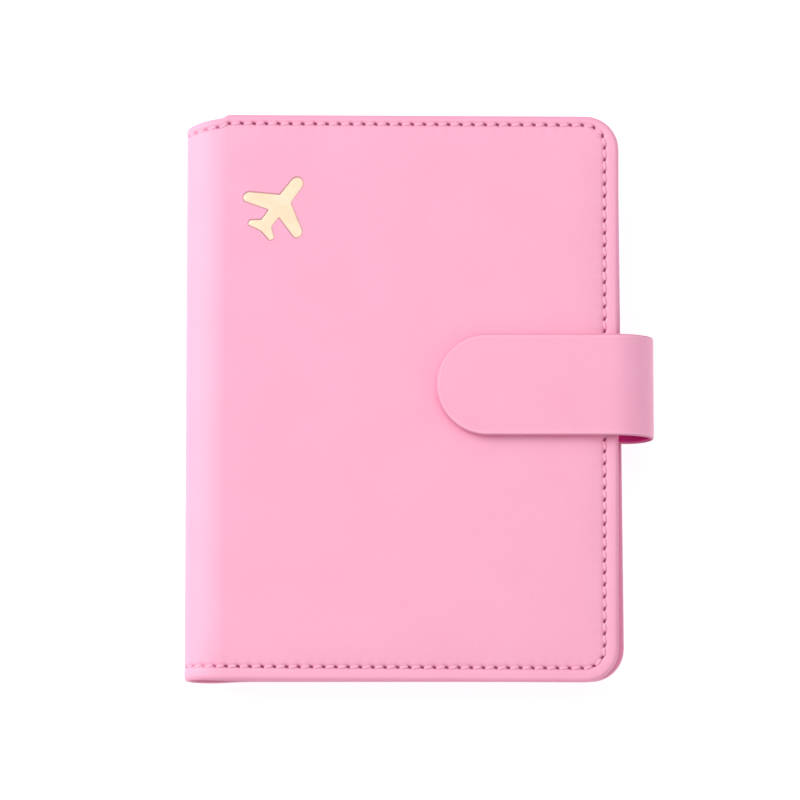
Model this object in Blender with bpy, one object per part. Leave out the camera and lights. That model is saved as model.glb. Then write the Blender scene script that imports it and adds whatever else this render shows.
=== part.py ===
"""Passport holder: a padded two-cover wallet with a soft round spine and a magnetic strap.

Scene frame, metres, +Z up. The closed holder lies on its back cover: X runs from the spine (-X)
to the fore edge (+X), Y from tail (-Y) to head (+Y), Z through the thickness.
The script works in millimetres: u is measured from the outside of the spine, v is Y, z is Z.
"""

import math
from collections import namedtuple

import bmesh
import bpy
from mathutils import Vector

# ---------------------------------------------------------------- driving dimensions, mm
FRONT_WIDTH = 109.6               # spine to fore edge of the front cover
BACK_WIDTH = FRONT_WIDTH + 1.0    # the back cover stands further out
HEIGHT = 145.0                    # head to tail
THICKNESS = 13.6                  # closed, over both padded covers, without the strap
FORE_RADIUS = 9.0                 # cover corners at the fore edge
MIN_RADIUS = 0.6                  # smallest corner radius
CORNER_STEPS = 7
SPINE_DEPTH = 10.0                # of the spine's half-ellipse, along u
SPINE_PROUD = 0.2                 # the spine's thread stands this far outside it

LEATHER = 0.8                     # cover leather
LINING = 0.5
POCKET = 0.45
GLUE = 0.1                        # gap between layers
HEM = 5.5                         # width of the turned edge
SEAM_INSET = 3.2                  # seam line, in from the edge
THREAD_WIDTH, THREAD_THICKNESS = 0.5, 0.3

STRAP_WIDTH = 25.6
STRAP_V = 1.7                     # middle of the strap
STRAP_TAIL, STRAP_HEAD = STRAP_V - STRAP_WIDTH / 2, STRAP_V + STRAP_WIDTH / 2
STRAP_TIP_U = 63.8                # rounded tip on the front cover
STRAP_LEATHER = 0.6
STRAP_OUT = 9.4                   # the loop stands this far past the front cover's fore edge
TONGUE_GAP = 0.3                  # between the front cover and the tongue
SNAP_U = STRAP_TIP_U + STRAP_WIDTH / 2   # magnet and catch share the centre of the round tip
MAGNET_RADIUS, MAGNET_THICKNESS = 6.0, 1.0
CATCH_RADIUS = 7.0
SNAP_CLEARANCE = 0.3              # around the magnet and the catch plate

ORIGIN_U = (FRONT_WIDTH + STRAP_OUT - SPINE_PROUD) / 2   # u of X = 0, the middle of the whole
MM = 0.001
SHARP_ANGLE = math.radians(35)

Cover = namedtuple("Cover", "name width flipped")
BACK = Cover("back", BACK_WIDTH, False)
FRONT = Cover("front", FRONT_WIDTH, True)


# ---------------------------------------------------------------- materials
def material(name, colour, roughness, metallic=0.0):
    mat = bpy.data.materials.new(name)
    mat.use_nodes = True
    shader = mat.node_tree.nodes["Principled BSDF"]
    shader.inputs["Base Color"].default_value = (*colour, 1.0)
    shader.inputs["Roughness"].default_value = roughness
    shader.inputs["Metallic"].default_value = metallic
    mat.diffuse_color = (*colour, 1.0)
    return mat


for old in list(bpy.data.objects):
    bpy.data.objects.remove(old, do_unlink=True)

PINK = material("pink_leather", colour=(0.93, 0.42, 0.60), roughness=0.45)
LINER = material("pink_lining", colour=(0.80, 0.25, 0.45), roughness=0.55)
FOAM = material("foam", colour=(0.92, 0.92, 0.90), roughness=0.9)
BOARD = material("board", colour=(0.55, 0.50, 0.42), roughness=0.9)
THREAD = material("pink_thread", colour=(0.90, 0.48, 0.64), roughness=0.6)
GOLD = material("gold_foil", colour=(0.95, 0.78, 0.50), roughness=0.25, metallic=1.0)
STEEL = material("steel", colour=(0.62, 0.62, 0.63), roughness=0.3, metallic=1.0)
MAGNET = material("magnet", colour=(0.25, 0.25, 0.26), roughness=0.4, metallic=1.0)


# ---------------------------------------------------------------- objects and Booleans
def place(u, v, z):
    """A point in millimetres becomes a scene point in metres."""
    return Vector(((u - ORIGIN_U) * MM, v * MM, z * MM))


def add_object(name, bm, mat, smooth=True):
    """Turns a bmesh into an object, using the bmesh up."""
    bmesh.ops.remove_doubles(bm, verts=bm.verts, dist=1e-7)
    bmesh.ops.recalc_face_normals(bm, faces=bm.faces)
    mesh = bpy.data.meshes.new(name)
    bm.to_mesh(mesh)
    bm.free()
    mesh.materials.append(mat)
    obj = bpy.data.objects.new(name, mesh)
    bpy.context.scene.collection.objects.link(obj)
    if smooth:
        mesh.shade_smooth()
        mesh.set_sharp_from_angle(angle=SHARP_ANGLE)
    return obj


def combine(target, operation, *tools):
    """Applies a Boolean to target with each tool, a bmesh that is used up."""
    for bm in tools:
        tool = add_object(f"{target.name}_tool", bm, PINK, smooth=False)
        tool.hide_render = True
        modifier = target.modifiers.new("join", "BOOLEAN")
        modifier.operation = operation
        modifier.object = tool
        modifier.solver = "EXACT"
        bpy.context.view_layer.update()
        graph = bpy.context.evaluated_depsgraph_get()
        mesh = bpy.data.meshes.new_from_object(target.evaluated_get(graph))
        target.modifiers.clear()
        old_mesh = target.data
        target.data = mesh
        bpy.data.meshes.remove(old_mesh)
        bpy.data.objects.remove(tool, do_unlink=True)
    target.data.set_sharp_from_angle(angle=SHARP_ANGLE)


# ---------------------------------------------------------------- outlines of (u, v)
def corner(u, v, radius, start, steps=CORNER_STEPS):
    """A quarter circle about (u, v), anticlockwise from start degrees."""
    angles = [math.radians(start + 90 * i / steps) for i in range(steps + 1)]
    return [(u + radius * math.cos(a), v + radius * math.sin(a)) for a in angles]


def panel_outline(u_spine, u_fore, v_tail, v_head, tail_radius, head_radius):
    """Tail side, fore edge and head side of a panel; the spine side is left open."""
    return [
        (u_spine, v_tail),
        *corner(u_fore - tail_radius, v_tail + tail_radius, tail_radius, -90),
        *corner(u_fore - head_radius, v_head - head_radius, head_radius, 0),
        (u_spine, v_head),
    ]


def cover_outline(inset, u_spine, width, radius=FORE_RADIUS):
    """A cover's three free sides, moved in by inset."""
    inner_radius = max(radius - inset, MIN_RADIUS)
    v_head = HEIGHT / 2 - inset
    return panel_outline(u_spine, width - inset, -v_head, v_head, inner_radius, inner_radius)


def box_outline(u0, u1, v0, v1, radius=MIN_RADIUS, steps=4):
    """A rectangle with rounded corners."""
    return [
        *corner(u1 - radius, v0 + radius, radius, -90, steps),
        *corner(u1 - radius, v1 - radius, radius, 0, steps),
        *corner(u0 + radius, v1 - radius, radius, 90, steps),
        *corner(u0 + radius, v0 + radius, radius, 180, steps),
    ]


def snap_circle(radius, steps=28):
    """A circle about the snap's axis."""
    angles = [2 * math.pi * i / steps for i in range(steps)]
    return [(SNAP_U + radius * math.cos(a), STRAP_V + radius * math.sin(a)) for a in angles]


def tongue_outline(inset, u_root, steps=14):
    """The strap tongue's edge moved in by inset: tail side, round the tip, head side."""
    radius = STRAP_WIDTH / 2 - inset
    angles = [math.radians(270 - 180 * i / steps) for i in range(steps + 1)]
    tip = [(SNAP_U + radius * math.cos(a), STRAP_V + radius * math.sin(a)) for a in angles]
    return [(u_root, STRAP_TAIL + inset), *tip, (u_root, STRAP_HEAD - inset)]


# ---------------------------------------------------------------- solids
def loft(rings, closed=True):
    """A solid through equal rings of (u, v, z), capped at both ends.
    Rings that aren't closed leave an open side, which one flat face fills."""
    bm = bmesh.new()
    rows = [[bm.verts.new(place(*point)) for point in ring] for ring in rings]
    bm.faces.new(rows[0])
    bm.faces.new(rows[-1])
    count = len(rows[0])
    for near, far in zip(rows, rows[1:]):
        for i in range(count if closed else count - 1):
            j = (i + 1) % count
            bm.faces.new((near[i], near[j], far[j], far[i]))
    if not closed:
        bm.faces.new([row[0] for row in rows] + [row[-1] for row in rows[::-1]])
    return bm


def slab(outline, z0, z1):
    """A flat plate with an outline of (u, v) between two heights."""
    return loft([[(u, v, z) for u, v in outline] for z in (z0, z1)])


def extruded(profile, v0, v1):
    """A closed profile of (u, z), extruded along Y."""
    return loft([[(u, v, z) for u, z in profile] for v in (v0, v1)])


def swept(profile, outline_at):
    """A closed profile of (inset, z), swept along the open path outline_at(inset)."""
    paths = [[(u, v, z) for u, v in outline_at(inset)] for inset, z in profile]
    return loft(list(zip(*paths)))


# ---------------------------------------------------------------- spine
SPLIT = math.radians(47)          # where each cover's leather meets the spine's
SPLIT_GAP = math.radians(2.5)     # clearance each side of it
SPINE_LEATHER_INSETS = 0.12, 0.68   # outer and inner face, from the half-ellipse
SPINE_LEATHER_HALF = HEIGHT / 2 - 0.9
SPINE_LINING_INSET = 0.8
SPINE_LINING_HALF = HEIGHT / 2 - 1.6
SPINE_LINING_START = math.radians(60)
SPINE_THREAD_INSETS = -SPINE_PROUD, 0.06


def spine_point(angle, inset):
    """On the half-ellipse, angle 0 at the back cover and pi at the front, moved in by inset."""
    half = THICKNESS / 2
    u = SPINE_DEPTH - SPINE_DEPTH * math.sin(angle)
    z = half - half * math.cos(angle)
    normal_u, normal_z = math.sin(angle) / SPINE_DEPTH, math.cos(angle) / half
    length = math.hypot(normal_u, normal_z)
    return u + inset * normal_u / length, z + inset * normal_z / length


def spine_curve(start, end, inset, steps):
    return [spine_point(start + (end - start) * i / steps, inset) for i in range(steps + 1)]


def middle_strip(insets, steps):
    """Profile of the spine between the two splits, its upper half mirroring the lower."""
    outer, inner = [spine_curve(SPLIT + SPLIT_GAP, math.pi / 2, i, steps) for i in insets]
    mirrored = [(u, THICKNESS - z) for u, z in outer[-2::-1] + inner]
    return outer + mirrored + inner[-2::-1]


def build_spine_leather():
    profile = middle_strip(SPINE_LEATHER_INSETS, 6)
    add_object("spine_leather", extruded(profile, -SPINE_LEATHER_HALF, SPINE_LEATHER_HALF), PINK)


def build_spine_lining():
    start, end = SPINE_LINING_START, math.pi - SPINE_LINING_START
    outer = spine_curve(start, end, SPINE_LINING_INSET, 8)
    inner = spine_curve(start, end, SPINE_LINING_INSET + LINING, 8)
    bm = extruded(outer + inner[::-1], -SPINE_LINING_HALF, SPINE_LINING_HALF)
    add_object("spine_lining", bm, LINER)


def build_spine_seams():
    profile = middle_strip(SPINE_THREAD_INSETS, 5)
    for end, side in (("head", 1), ("tail", -1)):
        v = side * (HEIGHT / 2 - SEAM_INSET)
        bm = extruded(profile, v - THREAD_WIDTH / 2, v + THREAD_WIDTH / 2)
        add_object(f"spine_seam_{end}", bm, THREAD)


# ---------------------------------------------------------------- covers
# Heights are depths in from a cover's outer plane; the front cover's stack is turned over.
MARGIN = 0.6                      # how far the sewn margin lies below the padded middle
SLOPE_START, SLOPE_END = 4.0, 9.0   # the padding's slope, in from the edge
CHAMFER = 0.35                    # outer leather's edge
HEM_LOW, HEM_HIGH = 1.5, 2.3
HEM_SPINE_U = SPINE_DEPTH + 2.0
BEND_LEAD = 1.2                   # flat start of the bend, overlapping the panel
CORE_SPINE_U = 12.5               # spine side of foam and board
FOAM_LOW = LEATHER + GLUE
FOAM_HIGH = FOAM_LOW + 0.6
FOAM_RADIUS = 12
BOARD_LOW, BOARD_HIGH = FOAM_HIGH + GLUE, HEM_HIGH
LINING_LOW = BOARD_HIGH + GLUE
LINING_HIGH = LINING_LOW + LINING
SEAM_HIGH = MARGIN - 0.06         # the thread lies just outside the margin
SEAM_SPINE_U = SPINE_DEPTH + 1.6

PANEL_SECTION = (  # inset, height: outer face to inner face, round the edge
    (SLOPE_END, 0.0), (SLOPE_START, MARGIN), (CHAMFER, MARGIN), (0.0, MARGIN + 0.25),
    (0.0, MARGIN + 0.55), (CHAMFER, MARGIN + LEATHER), (SLOPE_START, MARGIN + LEATHER),
    (SLOPE_END, LEATHER),
)
HEM_SECTION = (  # inset, height
    (0.05, MARGIN + 0.3), (0.05, 2.05), (0.3, HEM_HIGH), (HEM, HEM_HIGH),
    (HEM, HEM_LOW), (0.85, HEM_LOW), (0.85, MARGIN + 0.3),
)


def cover_z(cover, height):
    return THICKNESS - height if cover.flipped else height


def cover_slab(cover, outline, low, high):
    return slab(outline, *sorted((cover_z(cover, low), cover_z(cover, high))))


def cover_sweep(cover, section, u_spine):
    """A section of (inset, height), swept round the cover's free sides."""
    profile = [(inset, cover_z(cover, height)) for inset, height in section]
    return swept(profile, lambda inset: cover_outline(inset, u_spine, cover.width))


def bend_profile(cover):
    """The cover's share of the bend into the spine."""
    outer, inner = [spine_curve(0.0, SPLIT - SPLIT_GAP, i, 6) for i in SPINE_LEATHER_INSETS]
    for curve in (outer, inner):
        u, z = curve[0]
        curve.insert(0, (u + BEND_LEAD, z))
    return [(u, cover_z(cover, z)) for u, z in outer + inner[::-1]]


def build_cover_leather(cover):
    """Padded panel, turned edge on three sides, and the bend."""
    rings = [
        [(u, v, cover_z(cover, height)) for u, v in cover_outline(inset, SPINE_DEPTH, cover.width)]
        for inset, height in PANEL_SECTION
    ]
    leather = add_object(f"{cover.name}_cover_leather", loft(rings, closed=False), PINK)
    hem = cover_sweep(cover, HEM_SECTION, HEM_SPINE_U)
    bend = extruded(bend_profile(cover), -SPINE_LEATHER_HALF, SPINE_LEATHER_HALF)
    combine(leather, "UNION", hem, bend)
    return leather


def cut_strap_notch(leather):
    """Opens the back cover's hem where the strap enters."""
    outline = box_outline(
        BACK_WIDTH - HEM - 0.6, BACK_WIDTH + 1.0, STRAP_TAIL - 0.4, STRAP_HEAD + 0.4)
    combine(leather, "DIFFERENCE", slab(outline, 1.46, 3.0))


def build_cover_layers(cover):
    """Foam, board and lining; returns the board."""
    width = cover.width
    foam = cover_outline(SLOPE_END + 0.3, CORE_SPINE_U, width, FOAM_RADIUS)
    stiffener = cover_outline(HEM + 0.4, CORE_SPINE_U, width)
    lining = cover_outline(1.2, 7.0, width)
    add_object(f"{cover.name}_foam_pad", cover_slab(cover, foam, FOAM_LOW, FOAM_HIGH), FOAM)
    board = add_object(
        f"{cover.name}_stiffener_board", cover_slab(cover, stiffener, BOARD_LOW, BOARD_HIGH), BOARD)
    add_object(f"{cover.name}_lining", cover_slab(cover, lining, LINING_LOW, LINING_HIGH), LINER)
    return board


def build_catch_plate(board):
    """The steel plate in the front board, and the hole it sits in."""
    hole = snap_circle(CATCH_RADIUS + SNAP_CLEARANCE)
    combine(board, "DIFFERENCE", cover_slab(FRONT, hole, BOARD_LOW - 0.3, BOARD_HIGH + 0.3))
    plate = cover_slab(FRONT, snap_circle(CATCH_RADIUS), BOARD_LOW, BOARD_HIGH)
    add_object("cover_catch_plate", plate, STEEL)


def build_cover_seam(cover):
    low = SEAM_HIGH - THREAD_THICKNESS
    near, far = SEAM_INSET - THREAD_WIDTH / 2, SEAM_INSET + THREAD_WIDTH / 2
    section = [(near, low), (far, low), (far, SEAM_HIGH), (near, SEAM_HIGH)]
    add_object(f"{cover.name}_seam_thread", cover_sweep(cover, section, SEAM_SPINE_U), THREAD)


# ---------------------------------------------------------------- pockets
POCKET_INSET = 1.3                # in from the cover's edge
POCKET_HEAD = HEIGHT / 2 - POCKET_INSET

POCKETS = (  # name, cover, layer counted from the lining, thickness, spine-side u, head-side v
    ("boarding_pass_pocket", BACK, 0, POCKET, 13.5, 34.0),
    ("passport_sleeve", BACK, 1, 0.5, 46.0, POCKET_HEAD),
    ("slip_pocket", FRONT, 0, POCKET, 16.5, POCKET_HEAD),
    ("card_pocket_upper", FRONT, 1, POCKET, 13.5, 8.0),
    ("card_pocket_middle", FRONT, 2, POCKET, 13.5, -6.0),
    ("card_pocket_lower", FRONT, 3, POCKET, 13.5, -20.0),
)


def build_pocket(name, cover, layer, thickness, u_spine, v_head):
    """A flat panel whose head corner is fully rounded only where it reaches the cover's head."""
    radius = FORE_RADIUS - POCKET_INSET
    head_radius = radius if v_head == POCKET_HEAD else MIN_RADIUS
    outline = panel_outline(
        u_spine, cover.width - POCKET_INSET, -POCKET_HEAD, v_head, radius, head_radius)
    low = LINING_HIGH + GLUE + layer * (POCKET + GLUE)
    add_object(name, cover_slab(cover, outline, low, low + thickness), PINK)


# ---------------------------------------------------------------- gold foil aeroplane
PLANE_U, PLANE_V = 23.9, 49.2
PLANE_TURN = 36.5                 # degrees clockwise from nose to head
PLANE_LENGTH = 17.2
HALF_PLANE = (  # right half, nose up: (across, along) in shares of PLANE_LENGTH
    (0.000, 0.500), (0.050, 0.482), (0.085, 0.420), (0.098, 0.118), (0.490, -0.115),
    (0.520, -0.200), (0.470, -0.275), (0.090, -0.155), (0.090, -0.335), (0.230, -0.440),
    (0.215, -0.505), (0.030, -0.485), (0.000, -0.495),
)


def build_airplane():
    full = list(HALF_PLANE) + [(-x, y) for x, y in HALF_PLANE[-2:0:-1]]
    cos, sin = math.cos(math.radians(-PLANE_TURN)), math.sin(math.radians(-PLANE_TURN))
    outline = [
        (PLANE_U + PLANE_LENGTH * (x * cos - y * sin), PLANE_V + PLANE_LENGTH * (x * sin + y * cos))
        for x, y in full
    ]
    bm = slab(outline, THICKNESS + 0.04, THICKNESS + 0.16)
    add_object("airplane_foil", bm, GOLD, smooth=False)


# ---------------------------------------------------------------- strap
TONGUE_LOW = THICKNESS + TONGUE_GAP
TONGUE_TOP = TONGUE_LOW + LINING + GLUE + MAGNET_THICKNESS + GLUE + STRAP_LEATHER
TONGUE_BLANK_U = STRAP_TIP_U - 2          # the tongue's blanks start before the tip is cut
CUTTER_U = FRONT_WIDTH + 20               # the tip cutter ends past the loop
CORE_LOW = TONGUE_LOW + LINING + GLUE

ROOT_Z = 2.0                              # middle of the strap where it leaves the back cover
ROOT_U = BACK_WIDTH - HEM + 0.1
TOP_Z = TONGUE_TOP - STRAP_LEATHER / 2
LOOP_RADIUS = (TOP_Z - ROOT_Z) / 2        # middle of the leather
LOOP_Z = (TOP_Z + ROOT_Z) / 2
LOOP_U = FRONT_WIDTH + STRAP_OUT - LOOP_RADIUS - STRAP_LEATHER / 2
LOOP_INNER = LOOP_RADIUS - STRAP_LEATHER / 2
LEATHER_RADII = LOOP_RADIUS + STRAP_LEATHER / 2, LOOP_INNER
LINING_RADII = LOOP_INNER - GLUE, LOOP_INNER - GLUE - LINING
LINING_INSET = 0.8                        # strap lining and core, in from the leather's edge
FOLDS = 45, 135                           # fold lines, degrees round the loop
FOLD_GAP = 3.5                            # degrees of clearance each side of a fold line


def loop_point(degrees, radius):
    """On the loop, at an angle from straight down, turning outwards."""
    a = math.radians(degrees)
    return LOOP_U + radius * math.sin(a), LOOP_Z - radius * math.cos(a)


def loop_band(start, end, radii, steps, outer_end=(), inner_end=()):
    """Profile of a band round the loop; the extra points follow its outer curve,
    then come before its inner one."""
    outer, inner = [
        [loop_point(start + (end - start) * i / steps, radius) for i in range(steps + 1)]
        for radius in radii
    ]
    return [*outer, *outer_end, *inner_end, *inner[::-1]]


def strap_extruded(profile, inset=0.0):
    return extruded(profile, STRAP_TAIL + inset, STRAP_HEAD - inset)


def build_strap_root():
    band = loop_band(0, FOLDS[0] - FOLD_GAP, LEATHER_RADII, 4)
    low, high = ROOT_Z - STRAP_LEATHER / 2, ROOT_Z + STRAP_LEATHER / 2
    add_object("strap_root", strap_extruded([(ROOT_U, low), *band, (ROOT_U, high)]), PINK)


def build_strap_bridge():
    start, end = FOLDS[0] + FOLD_GAP, FOLDS[1] - FOLD_GAP
    leather = loop_band(start, end, LEATHER_RADII, 8)
    lining = loop_band(start, end, LINING_RADII, 8)
    add_object("strap_bridge_leather", strap_extruded(leather), PINK)
    add_object("strap_bridge_lining", strap_extruded(lining, LINING_INSET), LINER)


def build_tongue_leather():
    """Top leather cut to the round tip, with a rim turned down along its edge."""
    profile = loop_band(
        FOLDS[1] + FOLD_GAP, 180, LEATHER_RADII, 4,
        outer_end=[(TONGUE_BLANK_U, TONGUE_TOP)],
        inner_end=[(TONGUE_BLANK_U, TONGUE_TOP - STRAP_LEATHER)],
    )
    leather = add_object("strap_tongue_leather", strap_extruded(profile), PINK)
    cutter = slab(tongue_outline(0.0, CUTTER_U), TONGUE_TOP - 5, TONGUE_TOP + 5)
    combine(leather, "INTERSECT", cutter)
    low, high = TONGUE_LOW + 0.05, TONGUE_TOP - 0.3
    rim = swept(
        [(0.06, low), (0.06, high), (0.62, high), (0.62, low)],
        lambda inset: tongue_outline(inset, FRONT_WIDTH - 1.0),
    )
    combine(leather, "UNION", rim)


def build_tongue_lining():
    flat_u = FRONT_WIDTH + 1.0            # the lining is flat from here to the tip
    high = TONGUE_LOW + LINING
    profile = loop_band(
        FOLDS[1] + FOLD_GAP, 158, LINING_RADII, 3,
        outer_end=[(flat_u, high), (TONGUE_BLANK_U, high)],
        inner_end=[(TONGUE_BLANK_U, TONGUE_LOW), (flat_u, TONGUE_LOW)],
    )
    lining = add_object("strap_tongue_lining", strap_extruded(profile, LINING_INSET), LINER)
    cutter = slab(tongue_outline(LINING_INSET, CUTTER_U), TONGUE_LOW - 5, TONGUE_TOP + 5)
    combine(lining, "INTERSECT", cutter)


def build_strap_core():
    """The tongue's filler with a round hole, and the magnet in it."""
    high = CORE_LOW + MAGNET_THICKNESS
    outline = tongue_outline(LINING_INSET, FRONT_WIDTH - 3.0)
    core = add_object("strap_core", slab(outline, CORE_LOW, high), BOARD)
    hole = snap_circle(MAGNET_RADIUS + SNAP_CLEARANCE)
    combine(core, "DIFFERENCE", slab(hole, CORE_LOW - 1, CORE_LOW + 2))
    add_object("strap_magnet", slab(snap_circle(MAGNET_RADIUS), CORE_LOW, high), MAGNET)


# ---------------------------------------------------------------- hinges
def hinge_offset(steps=400):
    """Cover hinge lines, in from the spine's and the cover's outer planes:
    there, a fold keeps the leather's length."""
    half = THICKNESS / 2
    angles = [math.pi / 2 * i / steps for i in range(steps + 1)]
    quarter = sum(
        math.hypot(SPINE_DEPTH * (math.cos(b) - math.cos(a)), half * (math.sin(b) - math.sin(a)))
        for a, b in zip(angles, angles[1:])
    )
    return round((SPINE_DEPTH + half - quarter) / 2, 2)


HINGE_OFFSET = hinge_offset()
# A fold line at this radius keeps the loop's length as it straightens.
FOLD_RADIUS = LOOP_RADIUS * math.pi / 4 * math.sqrt(2)

HINGES = (  # name, parent hinge, (u, z), pieces that turn about it
    ("spine_hinge", None, (HINGE_OFFSET, HINGE_OFFSET),
     ("spine_leather", "spine_lining", "spine_seam_head", "spine_seam_tail")),
    ("front_cover_hinge", "spine_hinge", (HINGE_OFFSET, THICKNESS - HINGE_OFFSET),
     ("front_cover_leather", "front_foam_pad", "front_stiffener_board", "cover_catch_plate",
      "front_lining", "slip_pocket", "card_pocket_upper", "card_pocket_middle",
      "card_pocket_lower", "front_seam_thread", "airplane_foil")),
    ("strap_bridge_hinge", None, loop_point(FOLDS[0], FOLD_RADIUS),
     ("strap_bridge_leather", "strap_bridge_lining")),
    ("strap_tongue_hinge", "strap_bridge_hinge", loop_point(FOLDS[1], FOLD_RADIUS),
     ("strap_tongue_leather", "strap_tongue_lining", "strap_core", "strap_magnet")),
)


def build_hinges():
    """Empties on the hinge lines, with their pieces parented in place."""
    points = {}
    for name, parent, (u, z), pieces in HINGES:
        points[name] = place(u, 0.0, z)
        hinge = bpy.data.objects.new(name, None)
        bpy.context.scene.collection.objects.link(hinge)
        hinge.location = points[name]
        if parent:
            hinge.parent = bpy.data.objects[parent]
            hinge.location = points[name] - points[parent]
        for piece in pieces:
            obj = bpy.data.objects[piece]
            obj.parent = hinge
            obj.location = -points[name]


# ---------------------------------------------------------------- build
cut_strap_notch(build_cover_leather(BACK))
build_cover_leather(FRONT)
build_spine_leather()
build_spine_lining()
build_cover_layers(BACK)
build_catch_plate(build_cover_layers(FRONT))
for pocket in POCKETS:
    build_pocket(*pocket)
build_cover_seam(BACK)
build_cover_seam(FRONT)
build_spine_seams()
build_airplane()
build_strap_root()
build_strap_bridge()
build_tongue_leather()
build_tongue_lining()
build_strap_core()
build_hinges()
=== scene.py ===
# A closed pink leather passport holder: two padded covers joined by a rounded spine and sewn round
# the edge, a foil aeroplane on the front, pockets inside and a strap round the fore edge.
# It lies on its back cover: +z is up through the thickness, -x the spine, +x the fore edge and
# +y the head. Shapes are worked out in millimetres as (u, v, z): u is x measured from the outside
# of the spine, v is y. s is the distance along a sheet's cross-section from its middle fold.
import math

import bmesh
import bpy
import numpy as np
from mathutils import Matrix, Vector


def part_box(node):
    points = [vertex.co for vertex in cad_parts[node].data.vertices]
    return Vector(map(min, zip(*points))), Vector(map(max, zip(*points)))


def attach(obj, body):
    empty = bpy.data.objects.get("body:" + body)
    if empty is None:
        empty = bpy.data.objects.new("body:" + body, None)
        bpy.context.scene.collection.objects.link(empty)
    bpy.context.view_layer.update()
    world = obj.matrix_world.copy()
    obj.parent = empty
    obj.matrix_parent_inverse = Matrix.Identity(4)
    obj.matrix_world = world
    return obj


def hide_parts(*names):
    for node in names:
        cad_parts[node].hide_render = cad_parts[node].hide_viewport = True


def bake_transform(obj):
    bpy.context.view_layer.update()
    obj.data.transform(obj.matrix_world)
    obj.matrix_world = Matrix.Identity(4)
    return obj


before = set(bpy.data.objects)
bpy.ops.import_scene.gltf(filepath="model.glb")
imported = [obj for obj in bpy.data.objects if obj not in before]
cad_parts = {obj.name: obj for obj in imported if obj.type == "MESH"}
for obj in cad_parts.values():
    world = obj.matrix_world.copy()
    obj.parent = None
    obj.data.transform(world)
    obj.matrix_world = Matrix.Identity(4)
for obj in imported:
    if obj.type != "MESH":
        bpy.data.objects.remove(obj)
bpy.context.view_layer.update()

MM = 0.001


# ------------------------------------------------------------------ sizes, in millimetres
def edges(node):
    """The low and high corners of a CAD node's box."""
    low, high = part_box(node)
    return np.array(low) * 1000, np.array(high) * 1000


FRONT_HIGH = edges("front_cover_leather")[1]
BACK_HIGH = edges("back_cover_leather")[1]
X_SPINE = edges("spine_leather")[0][0] - 0.12    # the CAD solid sits this far inside the outline
THICK = FRONT_HIGH[2]
MID_Z = THICK / 2
HALF_HEIGHT = FRONT_HIGH[1]
FRONT_WIDTH = FRONT_HIGH[0] - X_SPINE
BACK_WIDTH = BACK_HIGH[0] - X_SPINE
CORNER_R = 8.3                 # fore corners, a little tighter than the CAD's
SPINE_DEPTH = 10.0             # half-axis of the spine's section along u; the other is MID_Z
SPINE_POWER = 1.6              # 2 would make that section an ellipse
SEAM_INSET = 3.2
PITCH = 3.1                    # from needle hole to needle hole
SLANT = math.radians(22)       # the needle holes lean outwards this much along the seam
COS_SLANT, SIN_SLANT = math.cos(SLANT), math.sin(SLANT)
HOLE_LONG, HOLE_WIDE = 0.68, 0.35     # half lengths of a needle hole


def to_frame(points):
    """(u, v, z) in mm to the frame, in metres."""
    return (np.asarray(points, float) + [X_SPINE, 0, 0]) * MM


def u_of(x):
    return x - X_SPINE


def smooth(x):
    x = np.clip(x, 0.0, 1.0)
    return x * x * (3 - 2 * x)


def bell(x, width, y=0.0, y_width=1.0):
    """1 at zero, falling off over a width, in one direction or two."""
    return np.exp(-((x / width) ** 2) - ((y / y_width) ** 2))


def edge_fall(depth, width):
    """1 at the edge of a sheet, curving to 0 at a width in from it."""
    return (1 - np.clip(depth / width, 0, 1)) ** 2


def run_length(a, b):
    """Distance run along a line, at each of its points."""
    return np.concatenate([[0], np.cumsum(np.hypot(np.diff(a), np.diff(b)))])


def lines(low, high, spacing):
    """Line positions from low to high, as far apart as spacing(x) says, ending exactly on high."""
    places = [low]
    while places[-1] < high:
        places.append(places[-1] + spacing(places[-1]))
    places = np.array(places)
    return low + (places - low) * (high - low) / (places[-1] - low)


def wave(s, v, scale, seed):
    """Slow, smooth unevenness of a soft sheet, between about -1 and 1."""
    k = 2 * math.pi / scale
    rng = np.random.RandomState(seed)
    total = np.zeros(np.broadcast(s, v).shape)
    for _ in range(7):
        angle = rng.uniform(0, 2 * math.pi)
        rate = rng.uniform(0.55, 1.45)
        phase = rng.uniform(0, 2 * math.pi)
        total = total + np.sin(k * rate * (s * math.cos(angle) + v * math.sin(angle)) + phase)
    return total / 3.2


# ------------------------------------------------------------------ cross-section paths
# at(s) gives u, z, then the (u, z) parts of the tangent and of the outward normal.
class SpinePath:
    """Outside of the holder: from the middle of the spine, round its half-oval, then flat to the
    fore edge. s below zero is the other half."""

    def __init__(self):
        self.angle = np.linspace(0, math.pi / 2, 1441)
        u = SPINE_DEPTH - SPINE_DEPTH * self.across(self.angle)
        self.length = run_length(u, MID_Z + MID_Z * np.sin(self.angle))
        self.quarter = self.length[-1]

    @staticmethod
    def across(angle):
        """Share of the spine's depth; flatter than an ellipse towards the covers, where the
        board's edge shows as a soft ridge."""
        return np.maximum(np.cos(angle), 0.0) ** (2 / SPINE_POWER)

    def s_of_u(self, u):
        return self.quarter + u - SPINE_DEPTH

    def at(self, s):
        s = np.asarray(s, float)
        sign = np.where(s < 0, -1.0, 1.0)
        angle = np.interp(np.abs(s), self.length, self.angle)
        flat = np.maximum(np.abs(s) - self.quarter, 0.0)
        across = self.across(angle)
        u = SPINE_DEPTH - SPINE_DEPTH * across + flat
        z = MID_Z * np.sin(angle)
        normal_u = -SPINE_POWER * across ** (SPINE_POWER - 1) / SPINE_DEPTH
        normal_z = 2 * np.sin(angle) / MID_Z
        size = np.hypot(normal_u, normal_z)
        normal_u, normal_z = normal_u / size, normal_z / size
        return u, MID_Z + sign * z, normal_z * sign, -normal_u, normal_u, sign * normal_z


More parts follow.
